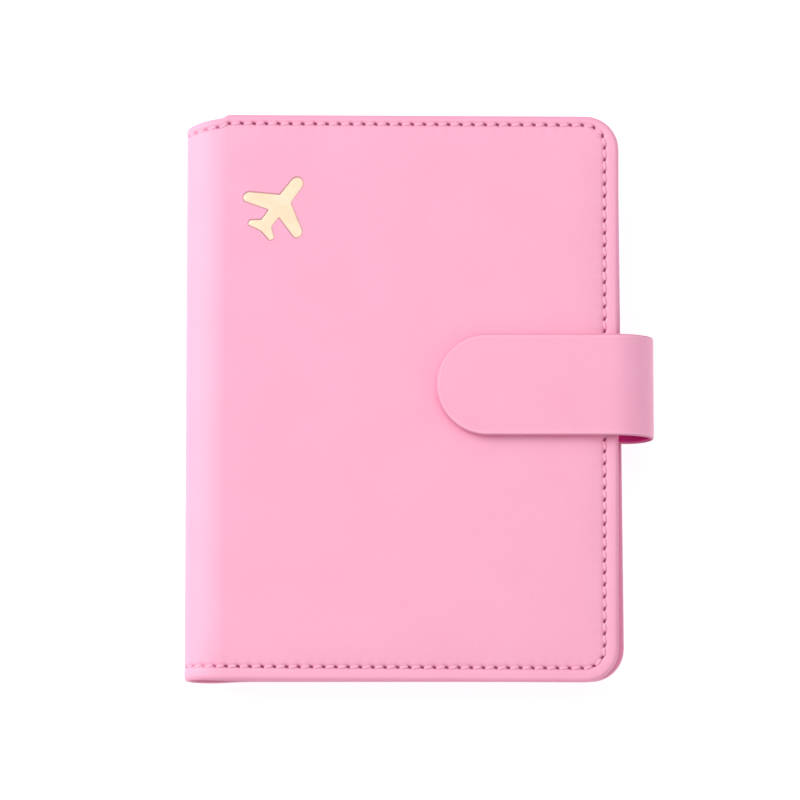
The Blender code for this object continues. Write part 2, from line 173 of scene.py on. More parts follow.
class LoopPath:
    """Outside of the strap: from the middle of its loop, round a quarter of an ellipse, then flat
    towards the tip."""

    def __init__(self, centre_u, centre_z, radius_u, radius_z):
        self.centre_u, self.centre_z = centre_u, centre_z
        self.radius_u, self.radius_z = radius_u, radius_z
        self.angle = np.linspace(0, math.pi / 2, 721)
        self.length = run_length(radius_u * np.cos(self.angle), radius_z * np.sin(self.angle))
        self.quarter = self.length[-1]

    def s_of_u(self, u):
        return self.quarter + self.centre_u - u

    def at(self, s):
        s = np.asarray(s, float)
        angle = np.interp(s, self.length, self.angle)
        flat = np.maximum(s - self.quarter, 0.0)
        cosine, sine = np.cos(angle), np.sin(angle)
        size = np.hypot(self.radius_z * cosine, self.radius_u * sine)
        normal_u, normal_z = self.radius_z * cosine / size, self.radius_u * sine / size
        u = self.centre_u + self.radius_u * cosine - flat
        return u, self.centre_z + self.radius_z * sine, -normal_z, normal_u, normal_u, normal_z


SKIN = SpinePath()
FRONT_END, BACK_END = SKIN.s_of_u(FRONT_WIDTH), SKIN.s_of_u(BACK_WIDTH)


class Outline:
    """A sheet in (s, v) from s = 0 to end, with rounded corners at its end. Its sides pull in by
    dip at s = 0."""

    DIP_LENGTH = 14.0

    def __init__(self, end, half_width, corner, dip=0.0):
        self.end, self.half_width, self.corner, self.dip = end, half_width, corner, dip
        self.centre_s, self.centre_v = end - corner, half_width - corner

    def half(self, s):
        """Half-width at s."""
        s = np.asarray(s, float)
        side = self.half_width - self.dip * (1 - smooth(np.abs(s) / self.DIP_LENGTH))
        x = np.clip(s - self.centre_s, 0, self.corner)
        arc = self.centre_v + np.sqrt(np.maximum(self.corner**2 - x**2, 0))
        return np.where(s > self.centre_s, arc, side)

    def in_corner(self, s, v):
        return (s > self.centre_s) & (np.abs(v) > self.centre_v)

    def depth(self, s, v):
        """Distance in from the head, tail and fore edges."""
        corner = self.corner - np.hypot(s - self.centre_s, np.abs(v) - self.centre_v)
        plain = np.minimum(self.end - s, self.half(s) - np.abs(v))
        return np.where(self.in_corner(s, v), corner, plain)

    def normal(self, s, v):
        """Outward direction in (s, v) at a point of the outline."""
        sign = np.where(v < 0, -1.0, 1.0)
        past_s = np.maximum(s - self.centre_s, 0)
        past_v = np.maximum(np.abs(v) - self.centre_v, 0)
        corner = (s > self.centre_s) & (past_s > 1e-9)
        past = np.maximum(np.hypot(past_s, past_v), 1e-9)
        slope = (self.half(s + 0.05) - self.half(s - 0.05)) / 0.1
        size = np.hypot(1, slope)
        return (np.where(corner, past_s / past, -slope / size),
                np.where(corner, sign * past_v / past, sign / size))


# ------------------------------------------------------------------ how the covers lie untrue
HEAD_STEP, HEAD_SAG = 0.92, 1.35      # the spine's head end: lower where the board stops, then sagging
BACK_TAIL_IN = 1.0                    # the back cover's tail edge lies this far inside the front's
TURN = 0.005                          # the front cover lies turned this much, in radians


def warp(s, v, back=False):
    """Where a point at v really lies."""
    run = np.abs(s)
    sag = HEAD_STEP * (1 - smooth((run - 11.5) / 2.6)) + HEAD_SAG * (1 - smooth(run / 13.0))
    moved = v - sag * np.clip((v + 20.0) / (HALF_HEIGHT + 20.0), 0, 1) ** 2.4
    if back:
        tail = smooth((-v - 20.0) / (HALF_HEIGHT - 20.0))
        return moved + BACK_TAIL_IN * smooth(run / 20.0) * tail
    return moved - TURN * run * smooth(run / 30.0)


def skew(s, v, back=False):
    """How far a point is shifted along u for the same reason."""
    cover = smooth(np.abs(s) / 30.0)
    return cover * (-0.05 - 0.45 * v / HALF_HEIGHT) if back else cover * TURN * v


# ------------------------------------------------------------------ mesh assembly
def make(name, verts, faces, material, lay, extras=None, sharp=38, mirror_z=None):
    """A mesh object from (u, v, z) points. lay is a flat-sheet coordinate for the material;
    mirror_z turns the piece over, z becoming mirror_z - z."""
    verts = np.array(verts)
    if mirror_z is not None:
        verts[:, 2] = mirror_z - verts[:, 2]
    mesh = bpy.data.meshes.new(name)
    mesh.from_pydata(to_frame(verts).tolist(), [], [[int(i) for i in face] for face in faces])
    bm = bmesh.new()
    bm.from_mesh(mesh)
    bmesh.ops.recalc_face_normals(bm, faces=bm.faces)
    bm.to_mesh(mesh)
    bm.free()
    for key, data in {"lay": lay, **(extras or {})}.items():
        data = np.asarray(data, np.float32)
        if data.ndim == 2:
            attribute = mesh.attributes.new(key, "FLOAT_VECTOR", "POINT")
            attribute.data.foreach_set("vector", data.ravel())
        else:
            mesh.attributes.new(key, "FLOAT", "POINT").data.foreach_set("value", data)
    mesh.materials.append(material)
    obj = bpy.data.objects.new(name, mesh)
    bpy.context.scene.collection.objects.link(obj)
    mesh.shade_smooth()
    mesh.set_sharp_from_angle(angle=math.radians(sharp))
    return obj


def grid_faces(rows, columns):
    starts = [i * columns + j for i in range(rows - 1) for j in range(columns - 1)]
    return [(a, a + columns, a + columns + 1, a + 1) for a in starts]


def border(rows, columns, closed):
    """Row and column indices round a grid: tail side, fore edge, head side and, if closed, back
    along the first row."""
    chain = [(i, 0) for i in range(rows)]
    chain += [(rows - 1, j) for j in range(1, columns)]
    chain += [(i, columns - 1) for i in range(rows - 2, -1, -1)]
    if closed:
        chain += [(0, j) for j in range(columns - 2, 0, -1)]
    return np.array(chain).T


def skirt_faces(rings, closed):
    """Quads between successive rings of indices round a grid's border."""
    faces = []
    count = len(rings[0])
    for upper, lower in zip(rings, rings[1:]):
        for i in range(count if closed else count - 1):
            j = (i + 1) % count
            faces.append((upper[i], lower[i], lower[j], upper[j]))
    return faces


def solid_faces(first, rings, count):
    """Walls and both end caps of stacked closed rings of count points, numbered from first."""
    faces = []
    for ring in range(rings - 1):
        low, high = first + ring * count, first + (ring + 1) * count
        for i in range(count):
            j = (i + 1) % count
            faces.append((low + i, low + j, high + j, high + i))
    for ring in (0, rings - 1):
        faces.append(tuple(first + ring * count + i for i in range(count)))
    return faces


def sheet(name, path, outline, s_lines, t_lines, height, material, rim, facing=1.0, mirror_z=None,
          extras=None, lay_z=0.0, cover=None):
    """A closed sheet on a path: its face at height(s, v) along the path's outward normal, facing
    out if facing is 1 and in if -1. t_lines are shares of the half-width.
    rim lists (out, down) offsets from the face's edge, down in mm or as a function of s; the last
    of them closes the back. extras gives {attribute: (function of (s, v), value off the face)}."""
    rows, columns = len(s_lines), len(t_lines)
    face_count = rows * columns
    s = np.repeat(s_lines[:, None], columns, 1)
    v = outline.half(s) * t_lines[None, :]
    u, z, tangent_u, tangent_z, normal_u, normal_z = path.at(s)
    h = height(s, v)
    top = np.stack([u + normal_u * h, v, z + normal_z * h], -1)
    if cover is not None:
        back = cover == "back"
        top[..., 0] += skew(s, v, back)
        top[..., 1] = warp(s, v, back)

    i, j = border(rows, columns, closed=False)
    edge_s, edge_v = s[i, j], v[i, j]
    out_s, out_v = outline.normal(edge_s, edge_v)
    fore = (i == rows - 1) & (j > 0) & (j < columns - 1)
    out_s, out_v = np.where(fore, 1.0, out_s), np.where(fore, 0.0, out_v)
    outward = np.stack([out_s * tangent_u[i, j], out_v, out_s * tangent_z[i, j]], -1)
    upward = facing * np.stack([normal_u[i, j], np.zeros(len(i)), normal_z[i, j]], -1)
    edge = top[i, j]

    verts = [top.reshape(-1, 3)]
    lays = [np.stack([s, v, np.zeros_like(s)], -1).reshape(-1, 3)]
    rings = [i * columns + j]
    count, run, last = face_count, 0.0, (0.0, 0.0)
    for out, down in rim:
        down = down(edge_s) if callable(down) else down
        verts.append(edge + outward * out - upward * np.reshape(down, (-1, 1)))
        run += np.hypot(out - last[0], np.mean(down) - last[1])
        last = (out, np.mean(down))
        lays.append(np.stack([edge_s + out_s * run, edge_v + out_v * run, np.zeros(len(i))], -1))
        rings.append(np.arange(count, count + len(i)))
        count += len(i)

    faces = grid_faces(rows, columns) + skirt_faces(rings, closed=False)
    # the back: strips from tail side to head side, then one face along the fore edge
    tail, head = rings[-1][:rows], rings[-1][::-1][:rows]
    fore_edge = list(rings[-1][rows - 1:rows - 1 + columns])
    for k in range(rows - 2):
        faces.append((tail[k], head[k], head[k + 1], tail[k + 1]))
    faces.append((tail[rows - 2], head[rows - 2], *fore_edge[::-1]))
    # the end at s = 0
    faces.append((*range(columns), *[r[-1] for r in rings[1:]], *[r[0] for r in rings[:0:-1]]))

    lays = np.concatenate(lays) + [0.0, 0.0, lay_z]
    attributes = {}
    for key, (measure, rest) in (extras or {}).items():
        data = np.full((count, *np.shape(rest)), rest, float)
        data[:face_count] = measure(s, v).reshape(face_count, *np.shape(rest))
        attributes[key] = data
    return make(name, np.concatenate(verts), faces, material, lays, attributes, mirror_z=mirror_z)


def tubes(name, centre_lines, radii, material, sides, mirror_z=None, flat=1.0):
    """Short threads: each centre line is an (n, 3) array in mm; flat squeezes their section."""
    verts, faces, lays = [], [], []
    for thread, line in enumerate(centre_lines):
        tangent = np.gradient(line, axis=0)
        tangent /= np.linalg.norm(tangent, axis=1, keepdims=True)
        level = abs(tangent[len(tangent) // 2][2]) < 0.8
        side = np.cross(tangent, [0.13, 0.21, 1.0] if level else [1.0, 0.17, 0.1])
        side /= np.linalg.norm(side, axis=1, keepdims=True)
        normal = np.cross(side, tangent)
        faces += solid_faces(len(verts), len(line), sides)
        along = 0.0
        for i, point in enumerate(line):
            if i:
                along += float(np.linalg.norm(point - line[i - 1]))
            for k in range(sides):
                angle = 2 * math.pi * k / sides
                spoke = math.cos(angle) * side[i] + flat * math.sin(angle) * normal[i]
                verts.append(point + radii[i] * spoke)
                lays.append((along, k / sides, thread * 0.37))
    return make(name, verts, faces, material, lays, sharp=75, mirror_z=mirror_z)


# ------------------------------------------------------------------ materials
class Shader:
    """A material with one Principled shader; the methods add nodes and return their outputs."""

    def __init__(self, name):
        self.material = bpy.data.materials.new(name)
        self.material.use_nodes = True
        self.tree = self.material.node_tree
        self.tree.nodes.clear()
        out = self.tree.nodes.new("ShaderNodeOutputMaterial")
        self.bsdf = self.tree.nodes.new("ShaderNodeBsdfPrincipled")
        self.tree.links.new(self.bsdf.outputs[0], out.inputs[0])

    def node(self, kind, inputs=None, **props):
        node = self.tree.nodes.new("ShaderNode" + kind)
        for key, value in props.items():
            setattr(node, key, value)
        for key, value in (inputs or {}).items():
            self.put(node.inputs[key], value)
        return node

    def put(self, socket, value):
        if isinstance(value, bpy.types.NodeSocket):
            self.tree.links.new(value, socket)
        else:
            socket.default_value = value

    def set(self, **values):
        """Inputs of the Principled shader, with underscores for spaces."""
        for key, value in values.items():
            self.put(self.bsdf.inputs[key.replace("_", " ")], value)

    def vector(self, name):
        return self.node("Attribute", attribute_name=name).outputs["Vector"]

    def value(self, name):
        return self.node("Attribute", attribute_name=name).outputs["Fac"]

    def object_place(self):
        return self.node("TexCoord").outputs["Object"]

    def split(self, vector):
        return self.node("SeparateXYZ", {"Vector": vector}).outputs

    def math(self, operation, a, b=0.0, clamp=False):
        return self.node("Math", {0: a, 1: b}, operation=operation, use_clamp=clamp).outputs[0]

    def plus(self, a, b, clamp=False):
        return self.math("ADD", a, b, clamp)

    def minus(self, a, b):
        return self.math("SUBTRACT", a, b)

    def times(self, a, b, clamp=False):
        return self.math("MULTIPLY", a, b, clamp)

    def mix(self, share, a, b):
        return self.node("Mix", {0: share, 6: a, 7: b}, data_type="RGBA").outputs[2]

    def noise(self, vector, scale, detail=3.0, rough=0.5):
        inputs = {"Vector": vector, "Scale": scale, "Detail": detail, "Roughness": rough}
        return self.node("TexNoise", inputs).outputs["Fac"]

    def contrast(self, value):
        """Black below 0.3, white above 0.7."""
        node = self.node("ValToRGB", {0: value})
        node.color_ramp.elements[0].position = 0.3
        node.color_ramp.elements[1].position = 0.7
        return node.outputs[0]

    def smoothstep(self, value, zero, one):
        """0 at zero and 1 at one, whichever is larger."""
        flip = zero > one
        inputs = {
            "Value": value,
            "From Min": one if flip else zero,
            "From Max": zero if flip else one,
            "To Min": 1.0 if flip else 0.0,
            "To Max": 0.0 if flip else 1.0,
        }
        return self.node("MapRange", inputs, interpolation_type="SMOOTHSTEP").outputs["Result"]

    def bump(self, height, strength, distance):
        inputs = {"Strength": strength, "Distance": distance, "Height": height}
        return self.node("Bump", inputs).outputs[0]


def srgb(*rgb):
    """A linear colour from red, green and blue out of 255."""
    def linear(c):
        return c / 255 / 12.92 if c <= 10.3 else ((c / 255 + 0.055) / 1.055) ** 2.4
    return (*map(linear, rgb), 1.0)


def shade(colour, red, green, blue):
    return (colour[0] * red, colour[1] * green, colour[2] * blue, 1)


def rubbed_and_highlight_colour(colour, green, blue):
    """The paler colour of rubbed leather, also used for a painted highlight line along the strap's
    edge.
    """
    return (1.0, colour[1] * green, min(1.0, colour[2] * blue), 1)


def seam_marks(mat, lay, light, dark, colour, rough, height):
    """Needle holes with painted shade in them, painted shade round them and along the groove the
    thread lies in, a rim painted darker as shade where the edge turns away, rubbed wear, and painted
    shade round the foil, of a cover. The seam attribute holds the place along the seam in stitches,
    the distance inside it and the distance in from the edge, in mm."""
    along, across, depth = mat.split(mat.vector("seam"))
    index = mat.math("FLOOR", along)
    jitter = mat.node("TexWhiteNoise", {"W": index}, noise_dimensions="1D").outputs["Value"]
    x = mat.times(mat.minus(mat.math("FRACT", along), 0.5), PITCH)
    x = mat.plus(x, mat.times(mat.minus(jitter, 0.5), 0.18))
    hole_x = mat.minus(mat.times(x, COS_SLANT), mat.times(across, SIN_SLANT))
    hole_y = mat.plus(mat.times(x, SIN_SLANT), mat.times(across, COS_SLANT))
    square_x = mat.math("POWER", mat.math("DIVIDE", hole_x, HOLE_LONG), 2.0)
    square_y = mat.math("POWER", mat.math("DIVIDE", hole_y, HOLE_WIDE), 2.0)
    radius = mat.math("SQRT", mat.plus(square_x, square_y))     # 1 on the hole's edge
    # the holes on the spine close up
    on_cover = mat.smoothstep(mat.split(lay)[0], zero=7.0, one=13.5)
    opened = mat.plus(mat.times(on_cover, 0.6), 0.4)
    # painted shade: the needle holes darker where they sink in; the same mask also deepens the bump
    pit_and_shade = mat.times(mat.smoothstep(radius, zero=1.25, one=0.62), opened)
    # painted shade round each needle hole and along the groove the thread lies in
    ring = mat.times(mat.smoothstep(radius, zero=2.6, one=1.1), 0.22)
    furrow_shade = mat.times(mat.smoothstep(mat.math("ABSOLUTE", across), zero=0.85, one=0.35), 0.09)
    seam_shade_colour = shade(dark, red=0.80, green=0.52, blue=0.66)
    colour = mat.mix(mat.math("MAXIMUM", ring, furrow_shade), colour, seam_shade_colour)
    edge_noise = mat.noise(lay, scale=0.9, detail=4.0, rough=0.65)
    # painted shade: the outer rim darker where the rolled edge turns away from the light, unevenly
    # along it
    rim = mat.smoothstep(depth, zero=0.75, one=0.0)
    rim = mat.times(rim, mat.plus(mat.times(edge_noise, 0.35), 0.22))
    colour = mat.mix(rim, colour, shade(dark, red=0.78, green=0.62, blue=0.70))
    # burnished in patches along the outer edge
    rub = mat.smoothstep(depth, zero=1.3, one=0.3)
    rub = mat.times(rub, mat.smoothstep(edge_noise, zero=0.52, one=0.72))
    colour = mat.mix(mat.times(rub, 0.22), colour, rubbed_and_highlight_colour(light, green=1.18, blue=1.08))
    rough = mat.minus(rough, mat.times(rub, 0.08))
    colour = mat.mix(pit_and_shade, colour, HOLE_SHADE_COLOUR)
    height = mat.minus(height, mat.times(pit_and_shade, 2.2))
    # painted shade on the pressed-in wall just outside the foil
    stamp = mat.times(mat.smoothstep(mat.value("foil"), zero=0.62, one=0.92), 0.72)
    colour = mat.mix(stamp, colour, shade(dark, red=0.55, green=0.56, blue=0.45))
    return colour, rough, height


def edge_highlight_and_shadow(mat, light, colour):
    """A painted highlight as a paler line just inside the edge, and painted shadow on the cut edge,
    darker as if in the thin shadow along it.
    """
    depth = mat.value("deep")
    from_line = mat.math("ABSOLUTE", mat.minus(depth, 0.62))
    # painted highlight along the top of the edge
    line = mat.times(mat.smoothstep(from_line, zero=0.30, one=0.10), 0.30)
    colour = mat.mix(line, colour, rubbed_and_highlight_colour(light, green=1.22, blue=1.10))
    # painted shadow on the edge's wall
    cut = mat.times(mat.smoothstep(depth, zero=0.30, one=0.12), 0.58)
    return mat.mix(cut, colour, srgb(204, 120, 156))


def leather(name, light, dark, grain=0.55, rough=0.46, bump=0.35, sewn=False, painted_edge_light=False):
    """Coated leather: pebbles grain mm across, painted shade in the creases between them, and slow
    mottling.
    """
    mat = Shader(name)
    lay = mat.vector("lay")
    inputs = {"Vector": lay, "Scale": 1.0 / grain, "Randomness": 0.95}
    cells = mat.node("TexVoronoi", inputs, feature="DISTANCE_TO_EDGE")
    fine = mat.noise(lay, scale=5.5, detail=4.0, rough=0.6)
    slow = mat.noise(lay, scale=0.055)
    middle = mat.noise(lay, scale=0.6, rough=0.55)
    pebble = mat.math("MINIMUM", mat.times(cells.outputs["Distance"], 3.2), 1.0)
    # height and colour: shares of the pebbles and of each noise
    height = mat.plus(mat.times(pebble, 0.8), mat.times(fine, 0.35))
    height = mat.plus(height, mat.times(middle, 0.25))
    colour = mat.mix(mat.contrast(slow), light, dark)
    # painted shade: the creases between the pebbles darker
    crease_shade = mat.times(mat.minus(1.0, pebble), 0.045)
    colour = mat.mix(crease_shade, colour, shade(dark, red=0.6, green=0.45, blue=0.5))
    colour = mat.mix(mat.times(mat.minus(middle, 0.4), 0.25, clamp=True), colour, light)
    uneven = mat.times(fine, 0.10)
    rough_at = mat.plus(uneven, mat.plus(mat.times(middle, 0.06), rough - 0.08))
    if sewn:
        colour, rough_at, height = seam_marks(mat, lay, light, dark, colour, rough_at, height)
    # painted highlight and painted shadow along a strap's edge
    if painted_edge_light:
        colour = edge_highlight_and_shadow(mat, light, colour)
    mat.set(Base_Color=colour, Roughness=rough_at, Specular_IOR_Level=0.36,
            Sheen_Weight=0.05, Sheen_Roughness=0.4)
    mat.set(Normal=mat.bump(height, strength=bump, distance=0.00006))
    return mat.material


def thread_material(name, dark, light):
    """Twisted thread: stripes along and round it, darker in the grooves between the plies and paler on
    their crowns, as painted shade and highlight.
    """
    mat = Shader(name)
    lay = mat.vector("lay")
    along, around, _ = mat.split(lay)
    twist = mat.math("SINE", mat.plus(mat.times(along, 11.0), mat.times(around, 12.566)), 0.5)
    fuzz = mat.noise(lay, scale=6.0, detail=2.0)
    height = mat.plus(mat.times(twist, 0.5), mat.times(fuzz, 0.6))
    # painted shade in the ply grooves and painted highlight on the crowns
    colour = mat.mix(mat.plus(mat.times(twist, 0.2), 0.35, clamp=True), dark, light)
    mat.set(Base_Color=colour, Roughness=0.55, Sheen_Weight=0.1)
    mat.set(Normal=mat.bump(height, strength=0.6, distance=0.00005))
    return mat.material


def foil_material():
    """Crackled pale gold."""
    mat = Shader("gold_foil_stamp")
    lay = mat.vector("lay")
    crackle = mat.noise(lay, scale=0.9, detail=6.0, rough=0.62)
    slow = mat.noise(lay, scale=0.16, detail=2.0)
    colour = mat.mix(mat.contrast(slow), srgb(244, 220, 195), srgb(238, 209, 179))
    rough = mat.plus(mat.times(crackle, 0.35), 0.16)
    mat.set(Base_Color=colour, Metallic=1.0, Roughness=rough)
    mat.set(Normal=mat.bump(crackle, strength=0.5, distance=0.0001))
    return mat.material


def plain_material(name, colour, metal, rough, scale):
    """A mottled solid, for the parts inside."""
    mat = Shader(name)
    mottle = mat.noise(mat.object_place(), scale, detail=5.0, rough=0.6)
    mottled = mat.mix(mottle, shade(colour, red=0.88, green=0.88, blue=0.88), colour)
    rough_at = mat.plus(mat.times(mottle, 0.2), rough - 0.1)
    mat.set(Base_Color=mottled, Metallic=metal, Roughness=rough_at)
    mat.set(Normal=mat.bump(mottle, strength=0.3, distance=0.0001))
    return mat.material


PINK_LIGHT, PINK_DARK = srgb(254, 178, 209), srgb(253, 174, 205)
# painted shade inside the needle holes
HOLE_SHADE_COLOUR = srgb(160, 76, 114)
SKIN_MAT = leather("skin_leather", PINK_LIGHT, PINK_DARK, sewn=True)
STRAP_MAT = leather("strap_leather", PINK_LIGHT, PINK_DARK, grain=0.52, painted_edge_light=True)
POCKET_MAT = leather("pocket_leather", srgb(248, 156, 192), srgb(244, 149, 186), grain=0.5)
LINING_MAT = leather("lining_sheet", srgb(232, 124, 168), srgb(226, 116, 160),
                     grain=0.42, rough=0.55, bump=0.25)
# painted shade: the deep magenta of the shaded inside of the loop, given to the strap's lining as its
# colour
STRAP_LINING_SHADE_MAT = leather("strap_lining_painted_shade", srgb(244, 60, 166), srgb(230, 50, 152),
                           grain=0.42, rough=0.5, bump=0.25)
THREAD_MAT = thread_material("seam_thread", srgb(252, 172, 203), srgb(255, 186, 214))
POCKET_THREAD_MAT = thread_material("pocket_thread", srgb(255, 198, 221), srgb(255, 222, 236))
FOIL_MAT = foil_material()
FOAM_MAT = plain_material("foam_cells", srgb(244, 242, 236), metal=0.0, rough=0.9, scale=1500)
BOARD_MAT = plain_material("grey_board", srgb(176, 166, 148), metal=0.0, rough=0.88, scale=700)
STEEL_MAT = plain_material("sheet_steel", srgb(190, 190, 194), metal=1.0, rough=0.35, scale=400)
MAGNET_MAT = plain_material("magnet_disc", srgb(120, 120, 124), metal=1.0, rough=0.4, scale=400)

for node_name, material in (
    ("back_foam_pad", FOAM_MAT), ("front_foam_pad", FOAM_MAT),
    ("back_stiffener_board", BOARD_MAT), ("front_stiffener_board", BOARD_MAT),
    ("strap_core", BOARD_MAT), ("strap_magnet", MAGNET_MAT), ("cover_catch_plate", STEEL_MAT),
):
    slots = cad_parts[node_name].data.materials
    slots.clear()
    slots.append(material)


# ------------------------------------------------------------------ the aeroplane's outline
PLANE_LENGTH = 17.2
PLANE_TURN = math.radians(53.5)     # from +u to its nose
# Half of it, nose up: (across, along, corner radius) as shares of its length.
PLANE_HALF = (
    (0.090, 0.40, 0.05), (0.097, 0.118, 0.02), (0.500, -0.128, 0.05), (0.518, -0.200, 0.035),
    (0.474, -0.272, 0.04), (0.088, -0.155, 0.02), (0.086, -0.345, 0.02), (0.222, -0.455, 0.02),
    (0.196, -0.520, 0.015), (0.0, -0.478, 0.0),
)


def plane_curve(corner_steps=6):
    """The outline as a dense closed polygon in mm about its centre, corners rounded; it runs
    clockwise."""
    nose = [(0.086 * math.sin(a), 0.41 + 0.09 * math.cos(a), 0.0) for a in np.linspace(0, 1.4, 8)]
    half = nose + list(PLANE_HALF)
    stations = half + [(-x, y, radius) for x, y, radius in half[-2:0:-1]]
    count = len(stations)
    points = []
    for i in range(count):
        before, corner, after = (np.array(stations[(i + k) % count][:2]) for k in (-1, 0, 1))
        radius = stations[i][2]
        if radius == 0.0:
            points.append(corner)
            continue
        to_before, to_after = before - corner, after - corner
        length_before, length_after = np.linalg.norm(to_before), np.linalg.norm(to_after)
        cut = min(radius, 0.45 * length_before, 0.45 * length_after)
        start = corner + to_before / length_before * cut
        end = corner + to_after / length_after * cut
        for t in np.linspace(0, 1, corner_steps):
            points.append((1 - t) ** 2 * start + 2 * t * (1 - t) * corner + t**2 * end)
    cosine, sine = math.cos(PLANE_TURN - math.pi / 2), math.sin(PLANE_TURN - math.pi / 2)
    return np.array(points) * PLANE_LENGTH @ np.array([[cosine, sine], [-sine, cosine]])


PLANE = plane_curve()
FOIL_LOW, FOIL_HIGH = edges("airplane_foil")
PLANE_U = u_of((FOIL_LOW[0] + FOIL_HIGH[0]) / 2) - (PLANE[:, 0].min() + PLANE[:, 0].max()) / 2
PLANE_V = (FOIL_LOW[1] + FOIL_HIGH[1]) / 2 - (PLANE[:, 1].min() + PLANE[:, 1].max()) / 2
PLANE_S = SKIN.s_of_u(PLANE_U)


def plane_distance(s, v):
    """Signed distance from the aeroplane's outline, negative inside."""
    px, py = s - PLANE_S, v - PLANE_V
    nearest = np.full(len(px), 1e9)
    inside = np.zeros(len(px), bool)
    for (ax, ay), (bx, by) in zip(PLANE, np.roll(PLANE, -1, 0)):
        edge_x, edge_y = bx - ax, by - ay
        square = edge_x * edge_x + edge_y * edge_y
        if square < 1e-12:
            continue
        t = np.clip(((px - ax) * edge_x + (py - ay) * edge_y) / square, 0, 1)
        nearest = np.minimum(nearest, np.hypot(px - ax - t * edge_x, py - ay - t * edge_y))
        if by != ay:
            spans = (ay > py) != (by > py)
            inside ^= spans & (px < edge_x * (py - ay) / (by - ay) + ax)
    return np.where(inside, -nearest, nearest)


def near_plane(s, v):
    return (np.abs(s - PLANE_S) < 11.5) & (np.abs(v - PLANE_V) < 11.5)


# ------------------------------------------------------------------ the seam round a cover
DIP = 0.45            # the leather also pulls in this much at both ends of the spine
MARGIN_LOW = 0.55     # the sewn margin lies this far below the padded middle
SEAM_UP = 1.15        # at the head, the seam runs this much nearer the edge


def seam_rise(v):
    return SEAM_UP * smooth((v - 15.0) / 50.0)


def seam_shift(v):
    return v + seam_rise(v)


def seam_unshift(v):
    return v - seam_rise(v - seam_rise(v))


def seam_lengths(outline):
    """Lengths of one side, one corner, the fore edge and the whole seam."""
    side = outline.centre_s
    bend = (outline.corner - SEAM_INSET) * math.pi / 2
    fore = 2 * outline.centre_v
    return side, bend, fore, 2 * side + 2 * bend + fore


def seam_point(outline, along):
    """The seam's point at a distance along it, from the spine's middle at the tail."""
    side, bend, _, total = seam_lengths(outline)
    radius = outline.corner - SEAM_INSET
    run = np.minimum(along, total - along)
    angle = np.clip((run - side) / radius, 0, math.pi / 2)
    s = np.where(run < side, run, side + radius * np.sin(angle))
    straight = outline.half(np.clip(run, 0, side)) - SEAM_INSET
    v = np.where(run < side, straight, outline.centre_v + radius * np.cos(angle))
    v = np.where(run > side + bend, outline.centre_v - (run - side - bend), v)
    return s, seam_shift(np.where(along < total / 2, -v, v))


def seam_place(outline, s, v):
    """The nearest place along the seam, and how far inside it a point lies."""
    side, bend, _, total = seam_lengths(outline)
    centre_v = outline.centre_v
    straight_v = seam_unshift(v)
    size_v = np.abs(straight_v)
    inside = outline.depth(s, straight_v) - SEAM_INSET
    turn = np.arctan2(np.maximum(s - side, 1e-9), np.maximum(size_v - centre_v, 1e-9))
    by_fore = outline.end - s < outline.half(s) - size_v
    run = np.where(outline.in_corner(s, straight_v), side + turn * (outline.corner - SEAM_INSET),
                   np.where(by_fore, side + bend + centre_v - size_v, s))
    return np.where(straight_v < 0, run, total - run), inside


def seam_holes(outline):
    """Needle holes as (s, v), the unit direction of the seam at each, and the exact pitch."""
    total = seam_lengths(outline)[3]
    count = int(round(total / PITCH))
    along = (np.arange(count) + 0.5) * total / count
    holes, before, after = (
        np.stack(seam_point(outline, along + step), 1) for step in (0.0, -0.1, 0.1))
    directions = after - before
    directions /= np.linalg.norm(directions, axis=1, keepdims=True)
    return holes, directions, total / count


# ------------------------------------------------------------------ the padded covers' swelling
SWELL = 7.5                   # the foam lifts the leather fully this far inside the seam
CLOTH_ROWS, CLOTH_COLUMNS = 57, 71
CLOTH_SCALE = 0.01            # millimetres to the simulation's own units
CLOTH_FRAMES = 20


def simulate_cloth(inner):
    """Heights of a cover's skin, held along the seam line and pushed up from below."""
    rows, columns = CLOTH_ROWS, CLOTH_COLUMNS
    s = np.repeat(np.linspace(0.0, inner.end, rows)[:, None], columns, 1)
    v = inner.half(s) * np.linspace(-1, 1, columns)[None, :]
    slack = 0.012 * np.random.RandomState(17).uniform(-1, 1, s.shape)
    points = np.stack([s * CLOTH_SCALE, v * CLOTH_SCALE, slack * CLOTH_SCALE], -1).reshape(-1, 3)
    mesh = bpy.data.meshes.new("skin_cloth")
    mesh.from_pydata(points.tolist(), [], grid_faces(rows, columns))
    cloth = bpy.data.objects.new("skin_cloth", mesh)
    bpy.context.scene.collection.objects.link(cloth)
    held = [i * columns + j for i in range(rows) for j in range(columns)
            if j in (0, columns - 1) or i == rows - 1]
    cloth.vertex_groups.new(name="sewn").add(held, 1.0, "REPLACE")
    modifier = cloth.modifiers.new("cloth", "CLOTH")
    settings = modifier.settings
    settings.quality = 6
    settings.mass = 0.3
    settings.tension_stiffness = settings.compression_stiffness = 22.0
    settings.shear_stiffness = 12.0
    settings.bending_stiffness = 1.5
    settings.tension_damping = settings.compression_damping = 12.0
    settings.use_pressure = True
    settings.uniform_pressure_force = 1.6
    settings.vertex_group_mass = "sewn"
    settings.effector_weights.gravity = 0.0
    modifier.collision_settings.use_collision = False
    modifier.point_cache.frame_start = 1
    modifier.point_cache.frame_end = CLOTH_FRAMES
    for step in range(1, CLOTH_FRAMES + 1):
        bpy.context.scene.frame_set(step)
    done = cloth.evaluated_get(bpy.context.evaluated_depsgraph_get()).to_mesh()
    places = np.zeros(3 * len(points))
    done.vertices.foreach_get("co", places)
    heights = np.abs(places.reshape(rows, columns, 3)[..., 2] / CLOTH_SCALE)
    bpy.data.objects.remove(cloth)
    bpy.data.meshes.remove(mesh)
    bpy.context.scene.frame_set(1)
    return heights


